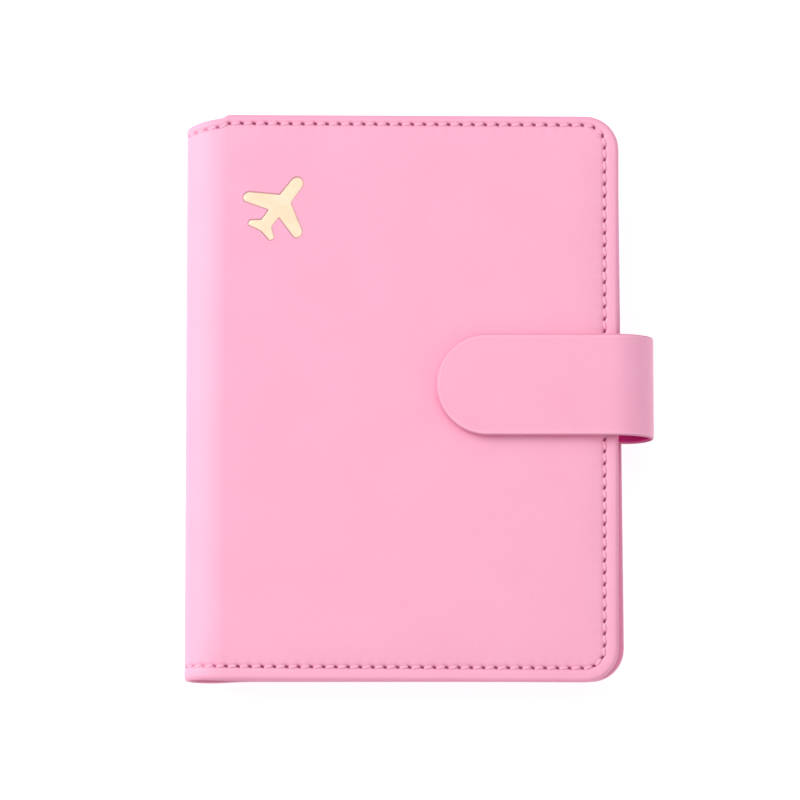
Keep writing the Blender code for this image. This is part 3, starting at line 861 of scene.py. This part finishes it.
def cubic_weights(f):
    """Catmull-Rom weights of the four samples around a place."""
    return (-0.5 * f + f**2 - 0.5 * f**3, 1 - 2.5 * f**2 + 1.5 * f**3,
            0.5 * f + 2 * f**2 - 1.5 * f**3, -0.5 * f**2 + 0.5 * f**3)


def swelling(outline):
    """A function of (s, v) for how far the foam has lifted the leather: 0 at the seam and 1 where
    it lies flat on the foam."""
    inner = Outline(outline.end - SEAM_INSET, outline.half_width - SEAM_INSET,
                    outline.corner - SEAM_INSET, outline.dip)
    heights = simulate_cloth(inner)
    last_row, last_column = CLOTH_ROWS - 1, CLOTH_COLUMNS - 1
    full = np.interp(inner.end - SWELL, np.linspace(0.0, inner.end, CLOTH_ROWS),
                     heights[:, CLOTH_COLUMNS // 2])
    heights = heights / full

    def lifted(s, v):
        x = np.clip(s / inner.end, 0, 1) * last_row
        share = np.clip(seam_unshift(v) / inner.half(np.clip(s, 0, inner.end)), -1, 1)
        y = (share + 1) / 2 * last_column
        i, j = np.minimum(x.astype(int), last_row - 1), np.minimum(y.astype(int), last_column - 1)
        weights_x, weights_y = cubic_weights(x - i), cubic_weights(y - j)
        total = 0.0
        for a in range(4):
            for b in range(4):
                sample = heights[np.clip(i + a - 1, 0, last_row),
                                 np.clip(j + b - 1, 0, last_column)]
                total = total + weights_x[a] * weights_y[b] * sample
        return np.clip(total, 0, 1)

    return lifted


# ------------------------------------------------------------------ cover leather
def cover_height(outline, pitch, front):
    """Functions of (s, v) for a cover: its height over the CAD's outer plane without and with
    holes and stamp, and its seam and foil attributes."""
    lifted = swelling(outline)

    def plain(s, v):
        depth = outline.depth(s, v)
        inside = seam_place(outline, s, v)[1]
        pad = 1 - (1 - lifted(s, v)) ** 2.3
        cover = smooth((s - 5.0) / 9.0)                    # no padding on the spine itself
        base = -MARGIN_LOW * cover * (1 - pad) - 0.10 * (1 - cover)
        groove = -0.17 * bell(inside, 0.62)
        margin = 0.07 * np.sin(math.pi * np.clip(1 + inside / SEAM_INSET, 0, 1))
        edge = -0.20 * edge_fall(depth, 0.8)
        soft = 0.030 * wave(s, v, scale=46.0, seed=3) + 0.010 * wave(s, v, scale=15.0, seed=5)
        soft = soft * np.clip(inside / 8.0, 0, 1)
        if front:     # flat round the stamp
            soft = soft * np.clip(np.hypot(s - PLANE_S, v - PLANE_V) / 6.0 - 1.6, 0, 1)
        return base + groove + margin + edge + soft

    def full(s, v):
        along, inside = seam_place(outline, s, v)
        x = (np.mod(along / pitch, 1.0) - 0.5) * pitch
        hole_x = x * COS_SLANT - inside * SIN_SLANT
        hole_y = x * SIN_SLANT + inside * COS_SLANT
        opened = 0.4 + 0.6 * smooth((s - 7.0) / 6.5)
        h = plain(s, v) - 0.36 * opened * bell(hole_x, HOLE_LONG, hole_y, 0.38)
        # puckers round the seam: low beside a hole, full beside a stitch
        h = h - 0.055 * bell(x, 0.75, inside - 0.5, 1.3)
        h = h + 0.030 * bell(np.abs(x) - pitch / 2, 0.8, inside - 1.1, 0.8)
        if front:     # pressed in under the stamp, with a low swelling round it
            box = near_plane(s, v)
            off = plane_distance(s[box], v[box])
            h[box] += -0.17 * (1 - smooth((off + 0.02) / 0.26)) + 0.035 * bell(off - 0.5, 0.28)
        return h

    def seam(s, v):
        along, inside = seam_place(outline, s, v)
        return np.stack([along / pitch, np.clip(inside, -9, 9), outline.depth(s, v)], -1)

    # a ring just outside the aeroplane, where painted shade lies on the pressed-in wall
    def foil(s, v):
        near = np.zeros(s.shape)
        if front:
            box = near_plane(s, v)
            off = plane_distance(s[box], v[box])
            near[box] = np.clip(1 - np.abs(off - 0.10) / 0.8, 0, 1)
        return near

    return plain, full, seam, foil


def cover_lines(outline, front):
    """Grid lines of a cover in s and t, closer together near the seam and the aeroplane."""
    def gap(depth, margin, rim, rim_gap, from_plane):
        width = rim_gap if depth < rim else 0.22 if depth < margin else 0.42
        return min(width, 0.18) if front and from_plane < 10.2 else width

    def s_gap(s):
        return gap(outline.end - s, margin=5.2, rim=0.6, rim_gap=0.12, from_plane=abs(s - PLANE_S))

    def v_gap(v):
        return gap(outline.half_width - abs(v), margin=5.8, rim=0.5, rim_gap=0.14,
                   from_plane=abs(v - PLANE_V))

    half = outline.half_width
    return lines(0.0, outline.end, s_gap), lines(-half, half, v_gap) / half


def hem_rim():
    """The turned edge: round the outside of the board, back along its inside, and up to the
    leather's own back. It is thinner on the spine."""
    turns = [math.radians(a) for a in np.linspace(20, 180, 9)]
    profile = [(0.30 * math.sin(turn), 0.80 * (1 - math.cos(turn))) for turn in turns]
    profile += [(-0.35, 1.66), (-2.0, 1.72), (-5.2, 1.72), (-5.2, 1.02), (-0.9, 0.74)]

    def scaled(down):
        return lambda s: down * (0.62 + 0.38 * smooth((s - 2.0) / 9.0))

    return [(out, scaled(down)) for out, down in profile]


def cover_skin(name, end, front):
    """One cover's leather; also its holes with their directions, and its height without them."""
    outline = Outline(end, HALF_HEIGHT, CORNER_R, DIP)
    holes, directions, pitch = seam_holes(outline)
    plain, full, seam, stamp = cover_height(outline, pitch, front)
    obj = sheet(name, SKIN, outline, *cover_lines(outline, front), full, SKIN_MAT, hem_rim(),
                mirror_z=None if front else THICK, lay_z=0.0 if front else 7.0,
                extras={"seam": (seam, (0.0, 9.0, 0.0)), "foil": (stamp, 0.0)},
                cover="front" if front else "back")
    return obj, (holes, directions), plain


# shares of the way along a stitch, and the thread's radius there
STITCH_T = np.array([0.0, 0.06, 0.14, 0.24, 0.37, 0.5, 0.63, 0.76, 0.86, 0.94, 1.0])
STITCH_R = [0.12, 0.25, 0.34, 0.395, 0.42, 0.43, 0.42, 0.395, 0.34, 0.25, 0.12]


def stitch_lines(holes, directions, height, back=False):
    """A short thread for each pair of neighbouring holes: out of one hole's outer end and into
    the next one's inner end."""
    dive = 0.34 * bell(STITCH_T, 0.07) + 0.34 * bell(1 - STITCH_T, 0.07)
    rise = 0.07 * np.sin(math.pi * STITCH_T) ** 0.5 - 0.05 - dive
    leans = [COS_SLANT * d + SIN_SLANT * np.array([d[1], -d[0]]) for d in directions]
    threads = []
    for k in range(len(holes) - 1):
        start, end = holes[k] + 0.52 * leans[k], holes[k + 1] - 0.52 * leans[k + 1]
        s = start[0] + (end[0] - start[0]) * STITCH_T
        v = start[1] + (end[1] - start[1]) * STITCH_T
        u, z, _, _, normal_u, normal_z = SKIN.at(s)
        sunk = 0.13 * (1 - smooth((np.abs(s) - 6.0) / 7.0))     # deeper on the spine
        h = height(np.abs(s), v) + rise - sunk
        threads.append(np.stack(
            [u + normal_u * h + skew(s, v, back), warp(s, v, back), z + normal_z * h], -1))
    return threads


def across_spine(holes, directions, end):
    """Holes and directions of the stitch that joins both covers' rows, at the tail (0) or the
    head (-1)."""
    here = holes[end]
    other = np.array([-here[0], here[1]])
    along = np.array([abs(directions[end][0]), 0.0])
    if end == 0:
        return np.array([other, here]), np.array([along, along])
    return np.array([here, other]), np.array([-along, -along])


front_skin, FRONT_SEAM, front_height = cover_skin("front_cover_skin", FRONT_END, front=True)
back_skin, BACK_SEAM, back_height = cover_skin("back_cover_skin", BACK_END, front=False)

front_threads = stitch_lines(*FRONT_SEAM, front_height)
for spine_end in (0, -1):
    front_threads += stitch_lines(*across_spine(*FRONT_SEAM, spine_end), front_height)
front_stitches = tubes("front_seam_stitches", front_threads, STITCH_R, THREAD_MAT,
                       sides=10, flat=0.66)
back_threads = stitch_lines(*BACK_SEAM, back_height, back=True)
back_stitches = tubes("back_seam_stitches", back_threads, STITCH_R, THREAD_MAT,
                      sides=10, flat=0.66, mirror_z=THICK)

# (out from the outline, height over the leather) of the foil's rings, from the bottom up
FOIL_PROFILE = ((0.03, -0.30), (0.03, -0.135), (-0.03, -0.105), (-0.10, -0.095))


def foil_stamp():
    """The foil aeroplane, pressed a little below the leather."""
    base = THICK + float(front_height(np.array([PLANE_S]), np.array([PLANE_V]))[0])
    edge = np.roll(PLANE, -1, 0) - np.roll(PLANE, 1, 0)
    outward = np.stack([-edge[:, 1], edge[:, 0]], 1)
    outward /= np.maximum(np.linalg.norm(outward, axis=1, keepdims=True), 1e-9)
    verts, lays = [], []
    for out, height in FOIL_PROFILE:
        x, y = (PLANE + outward * out).T
        s, v = PLANE_S + x, PLANE_V + y
        level = np.zeros(len(x))
        verts.append(np.stack([PLANE_U + x + skew(s, v), warp(s, v), level + base + height], 1))
        lays.append(np.stack([x, y, level + height], 1))
    faces = solid_faces(0, len(FOIL_PROFILE), len(PLANE))
    return make("airplane_foil_stamp", np.concatenate(verts), faces, FOIL_MAT,
                np.concatenate(lays), sharp=50)


foil_piece = foil_stamp()


# ------------------------------------------------------------------ linings inside both covers
LINING_INSET = 1.2


def lining(name, end, front):
    outline = Outline(end - LINING_INSET, HALF_HEIGHT - LINING_INSET, CORNER_R - LINING_INSET,
                      DIP + 0.3)
    half = outline.half_width

    def s_gap(s):
        return 0.5 if s < SKIN.quarter + 1 else (0.6 if outline.end - s < 9 else 3.0)

    def v_gap(v):
        return 0.8 if half - abs(v) < 9 else 3.0

    def height(s, v):
        depth = outline.depth(s, v)
        below = 1.62 + (2.88 - 1.62) * smooth(s / (SKIN.quarter * 1.05))     # spine to cover
        slack = 0.10 * bell(s, 6.0) * wave(s * 0, v, scale=33.0, seed=11)
        return -below - slack + 0.06 * edge_fall(depth, 0.4) + 0.06 * bell(depth - 1.1, 0.28)

    return sheet(name, SKIN, outline, lines(0.0, outline.end, s_gap),
                 lines(-half, half, v_gap) / half, height, LINING_MAT, facing=-1.0,
                 rim=[(0.08, 0.08), (0.11, 0.22), (0.08, 0.38), (-0.02, 0.46)],
                 mirror_z=None if front else THICK, cover="front" if front else "back")


front_liner = lining("front_lining_sheet", FRONT_END, front=True)
back_liner = lining("back_lining_sheet", BACK_END, front=False)


# ------------------------------------------------------------------ pockets
# Flat panels whose open edge stands off a little.
POCKET_STITCH_INSET, POCKET_PITCH = 2.5, 2.6
POCKET_STITCH_T = np.array([0.0, 0.10, 0.25, 0.5, 0.75, 0.90, 1.0])
POCKET_STITCH_R = [0.06, 0.14, 0.18, 0.19, 0.18, 0.14, 0.06]
SMALL_R, SPINE_CORNER_R = 1.0, 1.2
CUT_HALF, CUT_FADE = 13.0, 14.0       # half-width of a cut in an edge, and how far in it fades


def corner_inset(past, radius):
    """How far a rounded corner lies inside its straight edge, past its start."""
    arc = radius - np.sqrt(np.maximum(radius**2 - past**2, 0))
    return np.where(past > 0, arc, 0.0)


def pocket(node, open_side, lift, cut):
    """A panel on its CAD node's box, open at "head" or "spine", and the row of stitches that
    holds its turned edge down. cut is the depth of a shallow cut in the spine-side edge."""
    name = node + "_panel"
    low, high = edges(node)
    front = (low[2] + high[2]) / 2 > MID_Z
    u0, u1, v0, v1 = u_of(low[0]), u_of(high[0]), low[1], high[1]
    tall = v1 - v0
    face = low[2] if front else high[2]
    thick = high[2] - low[2]
    facing = -1.0 if front else 1.0
    tail_r = CORNER_R - 1.3
    head_r = tail_r if v1 > HALF_HEIGHT - 3 else SMALL_R

    def sides(u):
        spine_corner = corner_inset(u0 + SPINE_CORNER_R - u, SPINE_CORNER_R)
        return (v0 + corner_inset(u - u1 + tail_r, tail_r) + spine_corner,
                v1 - corner_inset(u - u1 + head_r, head_r) - spine_corner)

    def cut_shift(u, v):
        return cut * np.exp(-((v / CUT_HALF) ** 4)) * np.clip(1 - (u - u0) / CUT_FADE, 0, 1)

    def rise(u, v, from_open):
        share = (u - u0) / (u1 - u0) if open_side == "head" else (v - v0) / tall
        across = np.sin(math.pi * np.clip(share, 0, 1))
        uneven = 1 + 0.35 * wave(u, v, scale=40.0, seed=len(name))
        return lift * np.exp(-from_open / 6.0) * across * uneven

    def place(u, v, height):
        s = SKIN.s_of_u(u)
        return np.stack([u + skew(s, v, not front), warp(s, v, not front),
                         face + facing * height], -1)

    def u_gap(u):
        return 0.35 if (u - u0 < 3.4 or u1 - u < 2.2) else (0.8 if u1 - u < 9 else 1.8)

    def t_gap(t):
        from_tail, from_head = tall * t, tall * (1 - t)
        fine = 0.7 if from_tail < 9 or from_head < 9 else 1.8
        return (0.35 if from_head < 3.4 else fine) / tall

    def panel():
        u_lines, t_lines = lines(u0, u1, u_gap), lines(0, 1, t_gap)
        rows, columns = len(u_lines), len(t_lines)
        u = np.repeat(u_lines[:, None], columns, 1)
        tail, head = sides(u)
        v = tail + (head - tail) * t_lines[None, :]
        u = u + cut_shift(u, v)
        from_open = head - v if open_side == "head" else u - u[:1, :]
        line = -0.05 * bell(from_open - 1.5, 0.22)
        top = place(u, v, rise(u, v, from_open) + line - 0.05 * edge_fall(from_open, 0.4))
        i, j = border(rows, columns, closed=True)
        edge = top[i, j]
        along = np.roll(edge, -1, 0) - np.roll(edge, 1, 0)
        outward = np.stack([along[:, 1], -along[:, 0], 0 * along[:, 0]], -1)
        outward /= np.maximum(np.linalg.norm(outward, axis=1, keepdims=True), 1e-9)
        verts, rings, count = [top.reshape(-1, 3)], [i * columns + j], rows * columns
        lays = [np.stack([u, v, 0 * u], -1).reshape(-1, 3)]
        for out, down in ((0.07, 0.06), (0.10, thick / 2), (0.07, thick - 0.06),
                          (-0.02, thick - 0.01)):
            verts.append(edge + outward * out - [0, 0, facing * down])
            lays.append((edge + outward * (out + down)) * [1, 1, 0])
            rings.append(np.arange(count, count + len(i)))
            count += len(i)
        inner = top[1:-1, 1:-1] - [0, 0, facing * (thick - 0.01)]
        verts.append(inner.reshape(-1, 3))
        lays.append(np.stack([u, v, 0 * u + 9.0], -1)[1:-1, 1:-1].reshape(-1, 3))
        back = np.empty((rows, columns), int)
        back[i, j] = rings[-1]
        back[1:-1, 1:-1] = count + np.arange((rows - 2) * (columns - 2)).reshape(rows - 2, -1)
        faces = grid_faces(rows, columns) + skirt_faces(rings, closed=True)
        for a in range(rows - 1):
            for b in range(columns - 1):
                faces.append((back[a, b], back[a, b + 1], back[a + 1, b + 1], back[a + 1, b]))
        return make(name, np.concatenate(verts), faces, POCKET_MAT, np.concatenate(lays))

    def stitches():
        if open_side == "head":
            u = np.arange(u0 + 4.5, u1 - 3.5, 0.25)
            v = sides(u)[1] - POCKET_STITCH_INSET
        else:
            v = np.arange(v0 + 4.5, v1 - 4.0, 0.25)
            u = np.full(len(v), u0 + POCKET_STITCH_INSET)
            u = u + cut_shift(u, v)
        run = run_length(u, v)
        count = int(run[-1] / POCKET_PITCH)
        holes = np.linspace(0, run[-1], count + 1)
        height = rise(u, v, POCKET_STITCH_INSET)
        points = np.stack([np.interp(holes, run, data) for data in (u, v, height)])
        t = POCKET_STITCH_T
        bulge = 0.05 * np.sin(math.pi * t) ** 0.6 - 0.14 * bell(t, 0.06) - 0.14 * bell(1 - t, 0.06)
        threads = []
        for start, end in zip(points.T, points.T[1:]):
            su, sv, lifted = start[:, None] + (end - start)[:, None] * (0.07 + t * 0.86)
            threads.append(place(su, sv, lifted + bulge))
        return tubes(name + "_stitches", threads, POCKET_STITCH_R, POCKET_THREAD_MAT, sides=6)

    return panel(), stitches()


# CAD node, open side, how far the open edge stands off, cut depth, body it moves with
POCKET_TABLE = (
    ("slip_pocket", "spine", 0.35, 0.0, "front_cover"),
    ("card_pocket_upper", "head", 0.45, 0.0, "front_cover"),
    ("card_pocket_middle", "head", 0.45, 0.0, "front_cover"),
    ("card_pocket_lower", "head", 0.45, 0.0, "front_cover"),
    ("boarding_pass_pocket", "head", 0.25, 0.0, "back_cover"),
    ("passport_sleeve", "spine", 0.55, 6.0, "back_cover"),
)
pockets = [(*pocket(*row[:4]), row[0], row[4]) for row in POCKET_TABLE]

# ------------------------------------------------------------------ strap
TONGUE_LOW, TONGUE_HIGH = edges("strap_tongue_leather")
ROOT_LOW = edges("strap_root")[0]
STRAP_TOP, STRAP_BOTTOM = TONGUE_HIGH[2], ROOT_LOW[2]
STRAP_Z = (STRAP_TOP + STRAP_BOTTOM) / 2
STRAP_R = (STRAP_TOP - STRAP_BOTTOM) / 2
STRAP_OUT = u_of(edges("strap_bridge_leather")[1][0])
STRAP_V = (TONGUE_LOW[1] + TONGUE_HIGH[1]) / 2 + 0.55    # it lies a little towards the head
STRAP_HALF = (TONGUE_HIGH[1] - TONGUE_LOW[1]) / 2 + 0.12
TONGUE_R = STRAP_HALF - 0.12
LOOP_LONG = 11.0                      # over the fore edge the strap comes down in a long curve
LOOP = LoopPath(STRAP_OUT - LOOP_LONG, STRAP_Z, LOOP_LONG, STRAP_R)
LOOP_LOW = LoopPath(STRAP_OUT - STRAP_R, STRAP_Z, STRAP_R, STRAP_R)
STRAP_THIN = 0.70                     # thickness round the loop and of the root
TONGUE_THICK = STRAP_TOP - edges("strap_tongue_lining")[0][2] - 0.5


def band(name, corner, root, inward):
    """The strap's leather, or its lining if inward, from the middle of the loop: the tongue over
    the front cover, or the root, mirrored, under the back cover."""
    path = LOOP_LOW if root else LOOP
    end = path.s_of_u(u_of(ROOT_LOW[0] if root else TONGUE_LOW[0]))
    flat_thick = STRAP_THIN if root else TONGUE_THICK
    inset = 0.35 if inward else 0.0
    outline = Outline(end - inset, STRAP_HALF - inset, corner - inset)
    half = outline.half_width

    def grow(s):
        return smooth((s - path.quarter + 1.5) / 5.0)

    def total(s):
        return STRAP_THIN + (flat_thick - STRAP_THIN) * grow(s)

    def s_gap(s):
        left = outline.end - s
        if s < path.quarter + 6:
            return 0.45
        if left < outline.corner + 1:
            return 0.40 if left > 1.2 else 0.16
        return 1.2

    def v_gap(v):
        return 0.14 if half - abs(v) < 1.2 else 0.7

    def outer_height(s, v):
        depth = outline.depth(s, v)
        crown = 0.048 * smooth(depth / 9.0) * grow(s)
        soft = 0.02 * wave(s, v, scale=17.0, seed=21) * smooth((depth - 1) / 4)
        line = -0.03 * bell(depth - 1.3, 0.30)
        return -0.16 * edge_fall(depth, 0.45) + line + soft + crown - 0.08

    def inner_height(s, v):
        return -(total(s) + 0.48) + 0.10 * edge_fall(outline.depth(s, v), 0.4)

    def wall(share):
        return (0.05 + 0.07 * math.sin(math.pi * share),
                lambda s: 0.10 + (total(s) - 0.45) * share)

    if inward:
        looks = dict(height=inner_height, material=STRAP_LINING_SHADE_MAT, facing=-1.0, lay_z=5.0,
                     rim=[(0.06, 0.08), (0.09, 0.22), (0.05, 0.42), (-0.05, 0.52)])
    else:
        walls = [wall(share) for share in (0.25, 0.45, 0.65, 0.85)]
        looks = dict(height=outer_height, material=STRAP_MAT,
                     rim=[(0.05, 0.10), *walls, (-0.12, lambda s: total(s) - 0.28)],
                     extras={"deep": (outline.depth, 0.0)})
    obj = sheet(name, path, outline, lines(0.0, outline.end, s_gap),
                lines(-half, half, v_gap) / half, mirror_z=2 * STRAP_Z if root else None, **looks)
    for vert in obj.data.vertices:
        vert.co.y += STRAP_V * MM
    return obj


strap_top = band("strap_tongue_skin", TONGUE_R, root=False, inward=False)
strap_top_lining = band("strap_tongue_underside", TONGUE_R, root=False, inward=True)
strap_low = band("strap_root_skin", 0.6, root=True, inward=False)
strap_low_lining = band("strap_root_underside", 1.0, root=True, inward=True)


for piece in (front_skin, front_stitches, front_liner):
    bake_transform(piece)
for piece in (back_skin, back_stitches, back_liner):
    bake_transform(piece)
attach(foil_piece, "front_cover")
for panel, stitches, node_name, body in pockets:
    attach(panel, body)
    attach(stitches, body)
    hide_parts(node_name)
for piece in (strap_top, strap_top_lining):
    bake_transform(piece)
for piece in (strap_low, strap_low_lining):
    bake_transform(piece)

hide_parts("front_cover_leather", "spine_leather")
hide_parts("back_cover_leather")
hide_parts("front_seam_thread", "spine_seam_head", "spine_seam_tail")
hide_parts("back_seam_thread")
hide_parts("front_lining", "spine_lining")
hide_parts("back_lining")
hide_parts("airplane_foil")
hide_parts("strap_tongue_leather", "strap_bridge_leather")
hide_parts("strap_tongue_lining", "strap_bridge_lining")
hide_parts("strap_root")

# ------------------------------------------------------------------ floor, light and camera, in metres
scene = bpy.context.scene


def floor(half=6.0, drop=0.0006):
    """A light table: it glows, so that shadows stay faint."""
    mat = Shader("pale_floor")
    mottle = mat.noise(mat.object_place(), scale=3.0)
    colour = mat.mix(mottle, srgb(166, 166, 166), srgb(170, 170, 170))
    mat.set(Base_Color=colour, Roughness=0.9, Specular_IOR_Level=0.05,
            Emission_Color=(1.0, 1.0, 1.0, 1.0), Emission_Strength=0.78)
    mesh = bpy.data.meshes.new("floor")
    corners = [(-half, -half, 0), (half, -half, 0), (half, half, 0), (-half, half, 0)]
    mesh.from_pydata(corners, [], [(0, 1, 2, 3)])
    mesh.materials.append(mat.material)
    obj = bpy.data.objects.new("floor", mesh)
    obj.location = (0, 0, -drop)
    scene.collection.objects.link(obj)


def aim(obj, target):
    obj.rotation_euler = (target - obj.location).to_track_quat("-Z", "Y").to_euler()


def area(name, where, size, power, colour=(1, 1, 1)):
    """A square light aimed at the origin."""
    data = bpy.data.lights.new(name, "AREA")
    data.shape = "RECTANGLE"
    data.size = data.size_y = size
    data.energy = power
    data.color = colour
    obj = bpy.data.objects.new(name, data)
    obj.location = where
    aim(obj, Vector((0, 0, 0)))
    scene.collection.objects.link(obj)


def studio_world(lighting=0.46, seen_extra=0.58):
    """White all round, brighter where the camera sees it behind the floor."""
    world = bpy.data.worlds.new("studio")
    world.use_nodes = True
    nodes, links = world.node_tree.nodes, world.node_tree.links
    background = nodes["Background"]
    background.inputs[0].default_value = (1.0, 1.0, 1.0, 1.0)
    seen = nodes.new("ShaderNodeLightPath").outputs["Is Camera Ray"]
    level = nodes.new("ShaderNodeMath")
    level.operation = "MULTIPLY_ADD"
    level.inputs[1].default_value = seen_extra
    level.inputs[2].default_value = lighting
    links.new(seen, level.inputs[0])
    links.new(level.outputs[0], background.inputs[1])
    scene.world = world


def camera(distance=1.8, elevation=math.radians(80.0), view_width=0.2042, sensor=36):
    """Looks down steeply from the tail side; view_width is what it sees at the target."""
    data = bpy.data.cameras.new("camera")
    obj = bpy.data.objects.new("camera", data)
    scene.collection.objects.link(obj)
    target = Vector((-0.0049, 0.0010, 0.0))
    obj.location = target + Vector((0, -math.cos(elevation), math.sin(elevation))) * distance
    aim(obj, target)
    data.sensor_width = sensor
    data.lens = sensor / (view_width / distance)
    data.clip_end = 50
    scene.camera = obj


floor()
area("key", where=(-0.83, 0.34, 0.54), size=0.7, power=8.2, colour=(1.0, 1.0, 0.93))
area("fill", where=(1.0, -0.45, 0.45), size=0.9, power=1.7)
area("top", where=(0.0, 0.35, 1.6), size=1.6, power=7.0)
studio_world()
scene.view_settings.view_transform = "Standard"
camera()
